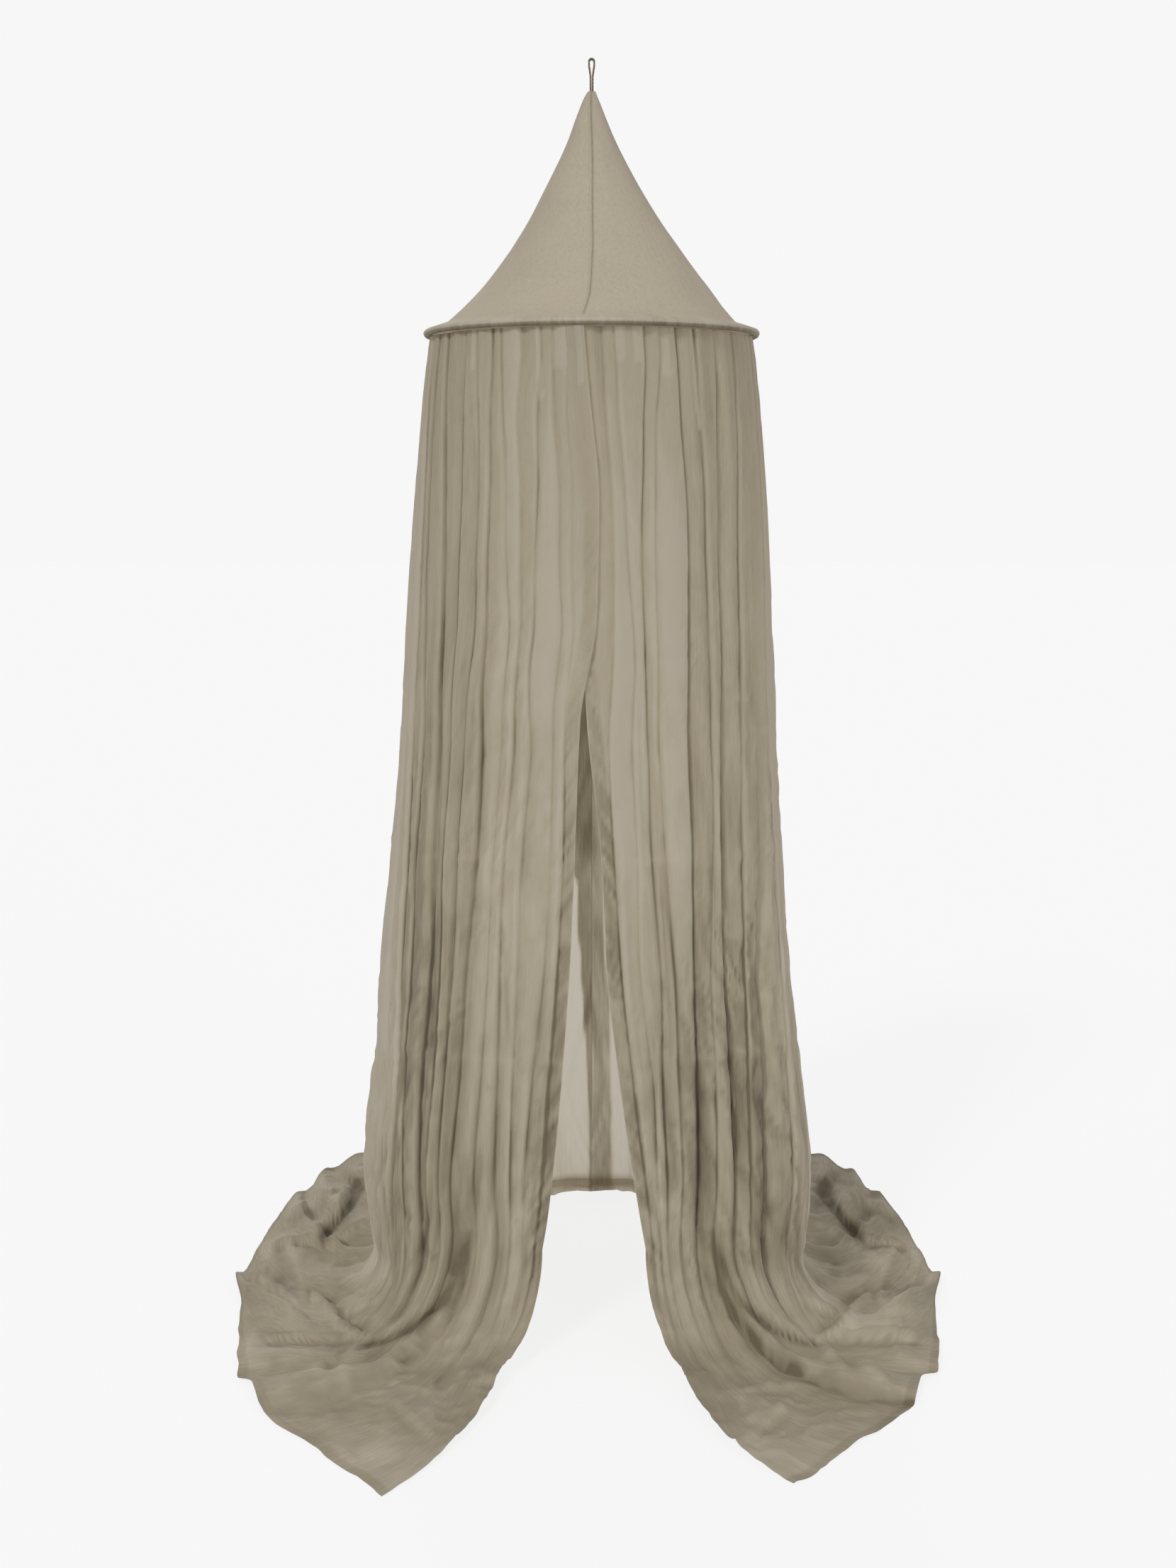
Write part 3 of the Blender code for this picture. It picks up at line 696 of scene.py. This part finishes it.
def pleat_plan():
    """Each pleat's places and depth, uneven in the same way every time."""
    draw = random.Random(7)
    plan = {}
    last = PLEAT_PLACES[-1][0]
    columns = [[0, *thousandths(column)] for column in list(zip(*PLEAT_PLACES))[1:]]
    for side, (rim, train_places) in (("left", columns[:2]), ("right", columns[2:])):
        for i in range(len(rim), PLEATS_A_SIDE):
            share = (i - last + draw.uniform(-0.24, 0.24)) / (PLEATS_A_SIDE - last)
            rim.append(rim[last] + (1 - rim[last]) * share)
            train_places.append(train_places[last] + (1 - train_places[last]) * share)
        depths = [
            (draw.uniform(0.002, 0.005), draw.uniform(0.003, 0.009), draw.uniform(0.002, 0.009))
            for _ in range(PLEATS_A_SIDE + 1)
        ]
        for pleat, *depth in MAIN_FOLDS[side]:
            depths[pleat] = thousandths(depth)
        waves = [(draw.uniform(2.5, 7.0), draw.uniform(0, 6.28)) for _ in range(3)]
        plan[side] = {
            "rim": np.array(rim + [1]),
            "train": np.array(train_places + [1]),
            "depths": np.array(depths),
            "waves": waves,
        }
    return plan


PLEATS = pleat_plan()
hanging = [None] + [reader(HANGING, i) for i in range(1, 8)]
train = [None] + [reader(TRAIN, i) for i in range(1, 9)]
LEVELS = np.linspace(0.0, SKIRT_TOP, 145)
SHARES = np.linspace(0.0, 1.0, 361)


def outlines(side):
    """The skirt's outline at each level, as points at even shares from the front edge to the back."""
    out = -1 if side == "left" else 1
    table = np.zeros((len(LEVELS), len(SHARES), 2))
    length = np.zeros(len(LEVELS))
    for i, level in enumerate(LEVELS):
        wide = float(hanging[1 if side == "left" else 2](level))
        front, back, square = (float(hanging[k](level)) for k in (3, 4, 5))
        edge = -float(hanging[6](level)) if side == "left" else float(hanging[7](level))
        angles = np.linspace(math.atan2(edge, front), math.pi, 361)
        power = np.where(angles < math.pi / 2, square, BACK_SQUARE)
        reach = np.where(angles < math.pi / 2, front, back)
        r = (np.abs(np.sin(angles) / wide) ** power + np.abs(np.cos(angles) / reach) ** power) ** (-1 / power)
        px, py = out * r * np.sin(angles), -r * np.cos(angles)
        run = np.concatenate([[0], np.cumsum(np.hypot(np.diff(px), np.diff(py)))])
        table[i, :, 0] = np.interp(SHARES, run / run[-1], px)
        table[i, :, 1] = np.interp(SHARES, run / run[-1], py)
        length[i] = run[-1]
    return table, length


OUTLINES = {side: outlines(side) for side in ("left", "right")}


def between(table, height, column):
    """Reads a table of levels and columns at any height, and between its columns."""
    level = np.clip(height / SKIRT_TOP * (len(LEVELS) - 1), 0, len(LEVELS) - 1.001)
    i, j = level.astype(int), np.clip(column.astype(int), 0, table.shape[1] - 2)
    s, t = level - i, column - j
    if table.ndim == 3:
        s, t = s[..., None], t[..., None]
    low = table[i, j] * (1 - t) + table[i, j + 1] * t
    high = table[i + 1, j] * (1 - t) + table[i + 1, j + 1] * t
    return low * (1 - s) + high * s


def on_outline(side, height, share):
    """Points of the outlines at given heights and shares."""
    return between(OUTLINES[side][0], height, np.clip(share, 0, 1) * (len(SHARES) - 1.001))


def outline_length(side, height):
    """How long one side's outline is at a height."""
    return np.interp(height, LEVELS, OUTLINES[side][1])


def pleat_shares(side):
    """Each pleat's share of the outline at every level."""
    plan = PLEATS[side]
    drop = (SKIRT_TOP - LEVELS) / SKIRT_TOP
    foot = train[1](plan["train"])
    shares = plan["rim"] + (foot - plan["rim"]) * drop[:, None] ** 1.3
    for pleat, *path in PLEAT_PATHS[side]:
        path = thousandths(path)
        rows = [(0.03, foot[pleat]), *zip(PATH_HEIGHTS, path), (SKIRT_TOP, path[0])]
        shares[:, pleat] = reader(rows, 1)(LEVELS)
    if side == "right":
        shares[:, 10] = np.maximum(shares[:, 10], shares[:, 9] + 0.03)
    return shares


SHARE_TABLES = {side: pleat_shares(side) for side in ("left", "right")}


def share_at(side, q, height):
    """The share of the outline at column q, counted in pleats, and a height."""
    share = between(SHARE_TABLES[side], height, q)
    drop = (SKIRT_TOP - height) / SKIRT_TOP
    sway = 0.010 * np.sin(9 * share + 5 * drop + (1 if side == "left" else 3)) * blend(drop * 2)
    return share + sway * blend((share - 0.35) * 6) * blend((1 - share) * 6)


def place_at(side, q, height):
    """How far column q is from the front edge, along the outline."""
    return share_at(side, q, height) * outline_length(side, height)


def train_at(side, q):
    """How far round the train each column is, from the front edge at 0 to the back at 1."""
    return np.interp(q, np.arange(PLEATS_A_SIDE + 1), PLEATS[side]["train"])


def three_way(share, start, middle, end):
    """Goes through three values, at 0, a half and 1."""
    first = start + (middle - start) * blend(share * 2)
    return np.where(share < 0.5, first, middle + (end - middle) * blend(share * 2 - 1))


def small_folds(side):
    """Folds that start part way down between two pleats, drawn once for each side."""
    draw = random.Random(21 if side == "left" else 22)
    folds = []
    for pleat in range(PLEATS_A_SIDE):
        for _ in range(draw.choice((1, 2, 2, 3))):
            folds.append((
                pleat + draw.uniform(0.15, 0.85),
                draw.uniform(0.02, 0.65),
                draw.uniform(0.0012, 0.0036),
                draw.uniform(0.0040, 0.0085),
                draw.uniform(4, 11),
                draw.uniform(0, 6.28),
            ))
    return folds


def ridges(across, down, seed):
    """Thin uneven ridges, as crumpled cloth keeps."""
    bent = 0.8 * uneven(across * 0.7 + 9, down * 0.7, seed + 1)
    return (1 - np.abs(uneven(across + bent, down - bent, seed))) ** 3


def turned_pleats(side):
    """Which pleats of a side have their steep face towards the front edge."""
    draw = random.Random(5 if side == "left" else 6)
    return [True] + [draw.random() < 0.5 for _ in range(PLEATS_A_SIDE)]


TURNED = {side: turned_pleats(side) for side in ("left", "right")}


def pleat_relief(side, q, height):
    """How far the hanging cloth lies behind its crests."""
    plan = PLEATS[side]
    drop = (SKIRT_TOP - height) / SKIRT_TOP
    share = share_at(side, q, height)
    place = place_at(side, q, height)
    depth = np.zeros(np.shape(q))
    for pleat in range(1, PLEATS_A_SIDE + 1):
        at = place_at(side, q * 0 + pleat, height)
        start, middle, end = plan["depths"][pleat]
        inner, outer = (0.0030, 0.0075), (0.013, 0.020)
        if not TURNED[side][pleat]:
            inner, outer = outer, inner
        away = place - at
        width_in = inner[0] + (inner[1] - inner[0]) * drop
        width_out = outer[0] + (outer[1] - outer[0]) * drop
        width = np.where(away < 0, width_in, width_out)
        crisp = np.exp(-np.abs(away) / (0.6 * width)) * 0.5 + bell(away, width) * 0.5
        depth = np.maximum(depth, three_way(drop, start, middle, end) * crisp)
    for at_q, begins, deep, width, turns, phase in small_folds(side):
        at = place_at(side, q * 0 + at_q, height) + 0.003 * np.sin(turns * drop + phase)
        fade = blend((drop - begins) * 6)
        depth = depth + deep * fade * np.exp(-np.abs(place - at) / width)
    broad = sum(np.sin(2 * math.pi * n * share + p + 1.2 * drop) for n, p in plan["waves"])
    depth = depth + (1 + broad / 3) * BROAD_WAVES * blend(drop * 1.1) * blend((1 - share) * 8)
    return depth * blend((share - FLAT_EDGE * 0.2) / FLAT_EDGE)


def pleat_shade_lines(side, q, height):
    """A thin painted shadow line in each pleat's crease, with a painted highlight along the crest's edge
    beside it.
    """
    place = place_at(side, q, height)
    dark = np.zeros(np.shape(q))
    for pleat in range(1, PLEATS_A_SIDE - 3):
        at = place_at(side, q * 0 + pleat, height)
        away = (at - place) * (1 if TURNED[side][pleat] else -1)
        strength = 0.75 + 0.5 * uneven(height * 9, at * 0 + pleat, 137)
        strength = strength * (1 - 0.5 * blend((0.30 - height) / 0.15))
        dark = dark + strength * (1.7 * bell(away, 0.0022) - 0.9 * bell(away - 0.0052, 0.0028))
    return dark


def edge_hem(drop):
    """How wide the front edges' hem is, by how far down it is."""
    return EDGE_HEM[0] + (EDGE_HEM[1] - EDGE_HEM[0]) * drop


def side_creases(side, q, height):
    """The listed creases and the crinkle of the hanging cloth."""
    length = outline_length(side, height)
    place = share_at(side, q, height) * length
    depth = np.zeros(np.shape(q))
    table, lengths = OUTLINES[side]
    for deep, width, points in thousandths(HANGING_CREASES[side]):
        line = []
        for x, h in points:
            i = int(round(h / SKIRT_TOP * (len(LEVELS) - 1)))
            reach = np.abs(table[i, :150, 0])
            first = int(np.argmin(reach))
            share = np.interp(abs(x), reach[first:], SHARES[first:150])
            line.append((share * lengths[i], h))
        away, along = near_line(place, height, line)
        depth = depth + deep * soft_line(away, along, width)
    flip = 1 if side == "left" else -1
    drop = (SKIRT_TOP - height) / SKIRT_TOP
    lower = 0.25 + 0.75 * blend((drop - 0.12) * 1.7)
    slanted = place * 0.94 + height * 0.34
    crossed = height * 0.94 - place * 0.34
    patches = blend(0.80 + 1.2 * uneven(place * 9, height * 4, 31 + flip))
    depth = depth + 0.0030 * lower * patches * ridges(slanted / 0.016, crossed / 0.060, 41 + flip)
    other = blend(0.65 + 1.2 * uneven(place * 8 + 5, height * 5, 35 + flip))
    slanted = place * 0.90 - height * 0.42
    crossed = height * 0.90 + place * 0.42
    depth = depth - 0.0026 * lower * other * ridges(slanted / 0.019, crossed / 0.052, 51 + flip)
    depth = depth + 0.0011 * (0.5 + 0.5 * lower) * uneven(place / 0.0085, height / 0.12, 61 + flip)
    depth = depth + 0.0010 * lower * uneven(place / 0.010, height / 0.026, 63 + flip)
    for mark in PACKET_MARKS:
        wander = 0.006 * uneven(place * 12, height * 0 + mark * 10, 71 + flip)
        depth = depth - 0.0020 * bell(height - mark - wander, 0.0045) * (0.4 + 0.6 * patches)
    hem = edge_hem(drop)
    puckers = ridges((height + place * 1.5) / 0.020, place / 0.030 + height * 6, 81 + flip)
    drawn_up = 0.45 + 0.55 * blend(0.5 + 1.4 * uneven(height * 11, place * 0, 83 + flip))
    band = blend((hem + 0.003 - place) / 0.005)
    depth = depth + band * blend(drop * 2.2) * 0.0048 * puckers * drawn_up
    return (depth + 0.0014 * bell(place - hem, 0.0018)) * (1 - 0.9 * blend((place / length - 0.82) / 0.06))


def hanging_points(side, q, height):
    """Points of the hanging cloth."""
    share = share_at(side, q, height)
    here = on_outline(side, height, share)
    ahead = on_outline(side, height, np.minimum(share + 0.01, 1))
    along = ahead - on_outline(side, height, np.maximum(share - 0.01, 0))
    out = np.stack([along[..., 1], -along[..., 0]], axis=-1)
    out /= np.linalg.norm(out, axis=-1, keepdims=True)
    out *= np.where((out * here).sum(axis=-1, keepdims=True) > 0, 1, -1)
    rise = LAP_RISE * (1 - blend(share / LAP_WIDTH)) * (1 if side == "left" else -0.2)
    depth = pleat_relief(side, q, height) + side_creases(side, q, height)
    return here + out * (rise - depth)[..., None]


def floor_height(across, run):
    """How high the cloth lies over the floor on its train."""
    height = np.zeros(np.broadcast(across, run).shape)
    for top, near, far, start, middle, end in FLOOR_FOLDS:
        away = np.where(across < top, (top - across) / near, (across - top) / far)
        height = np.maximum(height, three_way(run, start, middle, end) * (1 - blend(away)))
    return height


def train_points(side, q, bend, run):
    """Points beyond the hanging part: bend goes through the curve at the foot, then run to the hem."""
    out = -1 if side == "left" else 1
    across = train_at(side, q)
    lift = train[2](across)
    hem_x, hem_y = train[7](across), train[8](across)
    if side == "right":
        hem_x = hem_x * RIGHT_REACH[0]
        hem_y = np.where(hem_y < 0, hem_y * RIGHT_REACH[1], hem_y)
    landing = np.stack([out * train[3](across), train[4](across)], axis=-1)
    pull = np.stack([out * train[5](across), train[6](across)], axis=-1)
    hem = np.stack([out * hem_x, hem_y], axis=-1)
    outward = (hem - pull) / np.linalg.norm(hem - pull, axis=-1, keepdims=True)
    wander = uneven(across * 60, across * 0 + 1, 91 if side == "left" else 92)
    hem = hem + outward * (0.0035 * wander)[..., None]
    foot = hanging_points(side, q, lift)
    coarse = pleat_relief(side, q, lift)
    lying = CLOTH / 2 + floor_height(across, run)
    lying = lying + np.maximum(0.0, 0.018 - 0.75 * coarse) * (1 - run) ** 1.3
    turn = (bend * math.pi / 2)[..., None]
    bending = foot + (landing - foot) * (1 - np.cos(turn))
    bending[..., 1] -= FOOT_TUCK * np.sin(2 * turn[..., 0]) * blend((across - 0.86) / 0.05)
    raised = lying + (lift - lying) * (1 - np.sin(turn[..., 0]))
    t = run[..., None]
    lying_place = (1 - t) ** 2 * landing + 2 * t * (1 - t) * pull + t * t * hem
    place = np.where(t > 0, lying_place, bending)
    return place, np.where(run > 0, lying, raised)


def seen_on_floor(place, height):
    """Where the floor lies behind each place as the camera sees it: how far aside, and how far back."""
    farther = CAMERA_HEIGHT / (CAMERA_HEIGHT - np.clip(height, 0, 0.2))
    x = np.abs(CAMERA_SIDE + (place[..., 0] - CAMERA_SIDE) * farther)
    return x, (place[..., 1] + CAMERA_BACK) * farther - CAMERA_BACK


def train_shades(place, height):
    """How much painted shadow lies along the train's deepest creases, from 0 to 1."""
    x, y = seen_on_floor(place, height)
    shade = np.zeros(x.shape)
    for rise, _, points in TRAIN_CREASES:
        if rise <= DEEP_CREASE:
            away, along = near_line(x, y, points)
            shade = np.maximum(shade, soft_line(away, along, 0.0075, 0.2))
    return shade


def train_creases(side, place, height, amount):
    """What the creases of the train add to its height."""
    x, y = seen_on_floor(place, height)
    rise = np.zeros(x.shape)
    for high, width, points in TRAIN_CREASES:
        away, along = near_line(x, y, points)
        rise = rise + CREASE_SCALE * high * soft_line(np.hypot(away, 0.005), along, width + 0.002, 0.30)
    seed = 101 if side == "left" else 111
    rise = rise + 0.0060 * ridges(x / 0.085, y / 0.085, seed) * blend(0.5 + uneven(x * 9, y * 9, seed + 5))
    rise = rise + 0.0035 * ridges(x / 0.034 + 3, y / 0.034, seed + 7)
    rise = rise + 0.0014 * uneven(x / 0.016, y / 0.016, seed + 9)
    return rise * amount


HANGING_ROWS, BEND_ROWS, TRAIN_ROWS = 126, 24, 52


COLUMNS = (
    # up to which pleat, spacing at the hoop, fewest to a pleat
    (10, 0.0032, 6),
    (19, 0.0120, 11),
    (21, 0.0120, 5),
    (23, 0.0032, 10),
)


def columns_of(side):
    """Column places in pleats: closest together at the pleats' creases, and wide apart at the back."""
    rim = PLEATS[side]["rim"]
    places = []
    for pleat in range(PLEATS_A_SIDE):
        spacing, fewest = next((spacing, fewest) for last, spacing, fewest in COLUMNS if pleat < last)
        steps = max(fewest, int(round((rim[pleat + 1] - rim[pleat]) * 0.88 / spacing)))
        even = np.arange(steps) / steps
        places += list(pleat + even - 0.10 * np.sin(2 * math.pi * even))
    return np.array(places + [PLEATS_A_SIDE])


def layers_and_shade_of(side, q, height):
    """How many layers of cloth lie over each other, with painted shade in the counts and a painted shadow
    band down the back's middle.
    """
    levels = np.array(LAYER_HEIGHTS[::-1])
    draw = random.Random(9 if side == "left" else 10)
    panels = {pleat: [value / 10 for value in values] for pleat, *values in LAYERS_AND_SHADE[side]}
    count = np.zeros(np.shape(q))
    for pleat in range(PLEATS_A_SIDE):
        drawn = [draw.choice((1.2, 1.8, 2.4)) + draw.uniform(-0.3, 0.3) for _ in LAYER_HEIGHTS]
        values = panels.get(pleat, drawn)
        if pleat >= PLEATS_A_SIDE - 3:
            values = (1.0, 0.7, 0.4, 0.3, 0.6)
        inside = blend((q - pleat) / 0.16 + 0.5) * blend((pleat + 1 - q) / 0.16 + 0.5)
        count = count + inside * np.interp(height, levels, values[::-1])
    low, high = blend((0.62 - height) / 0.50), blend((height - 0.56) / 0.10)
    count = 2 + (count - 2) * ((1.5 if side == "left" else 1.75) - 0.6 * low)
    # A painted shadow band down the back's middle, where its fold lies in shade.
    half = 0.42 + low * (0.13 if side == "right" else -0.34) + 1.2 * high
    band = 1.9 + 0.9 * blend((height - 0.20) / 0.25) + 0.9 * high
    return count + band * blend((q - PLEATS_A_SIDE + half) / 0.06)


def skirt_side(side):
    """All points of one side, row by row from the rim to the hem, with their tone and cloth places."""
    q = columns_of(side)
    across = train_at(side, q)
    lowest = train[2](across)
    rows = []
    for share in np.linspace(0, 1, HANGING_ROWS):
        height = SKIRT_TOP + (lowest - SKIRT_TOP) * share
        rows.append(np.column_stack([hanging_points(side, q, height), height]))
    for bend in np.linspace(0, 1, BEND_ROWS + 1)[1:]:
        place, height = train_points(side, q, np.full_like(q, bend), np.zeros_like(q))
        height = height + train_creases(side, place, height, math.sqrt(bend))
        rows.append(np.column_stack([place, height]))
    for run in np.linspace(0, 1, TRAIN_ROWS + 1)[1:]:
        place, height = train_points(side, q, np.ones_like(q), np.full_like(q, run))
        height = height + train_creases(side, place, height, 1 - 0.5 * run**6)
        rows.append(np.column_stack([place, height]))
    rows = np.array(rows)
    steps = np.linalg.norm(np.diff(rows, axis=0), axis=-1)
    down = np.concatenate([np.zeros((1, len(q))), np.cumsum(steps, axis=0)])
    sideways = np.interp(q, np.arange(PLEATS_A_SIDE + 1), PLEATS[side]["rim"]) * ACROSS_CLOTH
    cloth = np.stack([np.broadcast_to(sideways, down.shape), down * 0, down], axis=-1)
    height = np.minimum(rows[..., 2], SKIRT_TOP)
    wide_q = np.broadcast_to(q, down.shape)
    # From here on layers holds painted shade and light as well as the cloth's own layers.
    layers = layers_and_shade_of(side, wide_q, height)
    place = place_at(side, wide_q, height)
    # Painted light: strips of single cloth made paler, as if lit through from behind.
    for share, half, low, pale in STRIPS[side]:
        away = np.abs(place - share * outline_length(side, height))
        inside = blend((half + 0.0010 - away) / 0.0010)
        layers = layers - 1.5 * pale * inside * blend((height - low) / 0.004)
    hem = edge_hem(np.clip(1 - height / SKIRT_TOP, 0, 1))
    layers = layers + 0.45 * blend((hem - place) / 0.003) * blend((down - 0.15) / 0.2)
    past_foot = np.arange(len(rows))[:, None] - HANGING_ROWS
    landed = blend((past_foot + 6) / (BEND_ROWS + 4))
    # Painted shade in the pleats' hollows, darker with their depth, and their painted shadow and highlight
    # lines.
    folds = PLEAT_SHADE * pleat_relief(side, wide_q, height) - 0.25 + pleat_shade_lines(side, wide_q, height)
    # Painted shade: darker below about 0.7 m, then paler again near the floor.
    folds = folds + 0.45 * blend((0.70 - height) / 0.30) - 0.30 * blend((0.30 - height) / 0.15)
    # Painted shade in the listed creases' hollows and crinkles, and painted light on their ridges.
    hanging_crease_shade = np.clip(CREASE_SHADE * side_creases(side, wide_q, height) - 0.1, -0.5, 0.75)
    hanging_layers_and_shade = layers + folds + hanging_crease_shade + 0.42 * uneven(place / 0.008, height / 0.35, 133)
    # Painted shade in the train's crease hollows, and painted light on their ridges.
    lying_crease_shade = np.clip(-TRAIN_SHADE * train_creases(side, rows[..., :2], rows[..., 2], 1) + 0.15, -0.8, 1.9)
    # Paler towards the trains' front tips.
    lying_crease_shade = lying_crease_shade - 0.55 * blend((-0.58 - rows[..., 1]) / 0.10)
    lying_layers_and_shade = 3.02 + lying_crease_shade + 0.30 * uneven(rows[..., 0] * 14, rows[..., 1] * 14, 131)
    layers = hanging_layers_and_shade * (1 - landed) + lying_layers_and_shade * landed
    # Painted shadow lines along the train's deepest creases.
    layers = layers + 1.5 * blend((past_foot + 10) / 12) * train_shades(rows[..., :2], rows[..., 2])
    to_hem = down[-1] - down
    layers = layers + 0.4 * blend((FOOT_HEM - to_hem) / 0.003)
    return rows, layers, cloth


left, left_layers_and_shade, left_cloth = skirt_side("left")
right, right_layers_and_shade, right_cloth = skirt_side("right")
left_cloth[..., 0] *= -1
both_sides = ((left, right), (left_layers_and_shade, right_layers_and_shade), (left_cloth, right_cloth))
whole, layers, cloth = (np.concatenate([a, b[:, -2::-1]], axis=1) for a, b in both_sides)
whole[..., 2] = np.maximum(whole[..., 2], LOWEST) + FLOOR
skirt_cotton = thin_cotton("crinkled_cotton", 0.64, 0.75)
skirt_faces = grid_faces(whole.shape[1], whole.shape[0], False).tolist()
skirt = new_piece("skirt_cloth", whole.reshape(-1, 3), skirt_faces, skirt_cotton)
# The tone holds the layers together with their painted shade and light.
set_cloth(skirt, ONE_LAYER - LAYER_TONE * (layers - 1), cloth)
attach(skirt, "root")
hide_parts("skirt")


# Floor, backdrop and lights
# A pale seamless floor that meets a backdrop of the same brightness, an even soft light from all
# round, two soft suns in front that bring out the folds and one behind that shines through them.
# The floor and backdrop are seen but throw no light, and part of the floor's brightness is its
# own, so its shadows stay faint.
floor_mesh = bpy.data.meshes.new("floor")
floor_corners = [(-30, -30, FLOOR), (30, -30, FLOOR), (30, 30, FLOOR), (-30, 30, FLOOR)]
floor_mesh.from_pydata(floor_corners, [], [(0, 1, 2, 3)])
backdrop_mesh = bpy.data.meshes.new("backdrop")
dome = bmesh.new()
bmesh.ops.create_uvsphere(dome, u_segments=48, v_segments=24, radius=40)
dome.to_mesh(backdrop_mesh)
dome.free()
PALE = 0.930  # how bright the backdrop is, and the floor far from the canopy
FLOOR_GLOW = 0.839  # how much of the floor's brightness is its own
AROUND = 0.52  # the even light's strength


def stage_paint(name, colour, glow):
    """A dull pale paint with some brightness of its own."""
    settings = {"Base Color": linear(colour), "Roughness": 1.0, "Specular IOR Level": 0.0}
    settings.update({"Emission Color": linear("#FFFFFF"), "Emission Strength": glow})
    return new_finish(name, settings)[0]


for name, mesh, colour, glow in (
    ("floor", floor_mesh, "#585858", FLOOR_GLOW),
    ("backdrop", backdrop_mesh, "#000000", PALE),
):
    stage = new_object(name, mesh)
    stage.data.materials.append(stage_paint("pale_" + name, colour, glow))
    stage.visible_diffuse = stage.visible_glossy = stage.visible_transmission = stage.visible_shadow = False

bpy.context.scene.view_settings.view_transform = "Standard"
world = bpy.data.worlds.new("studio")
world.use_nodes = True
world.node_tree.nodes["Background"].inputs[0].default_value = linear("#FFFFFF")
world.node_tree.nodes["Background"].inputs[1].default_value = AROUND
bpy.context.scene.world = world


def soft_sun(name, left, up, strength, softness):
    """A sun turned left of straight ahead and up by so many degrees."""
    sun = new_object(name, bpy.data.lights.new(name, "SUN"))
    sun.data.energy = strength
    sun.data.angle = math.radians(softness)
    sun.rotation_euler = (math.radians(90 - up), 0, math.radians(-left))


soft_sun("key", 32, 40, 1.40, 11)
soft_sun("fill", -40, 14, 0.65, 25)
soft_sun("back", 172, 20, 1.30, 25)
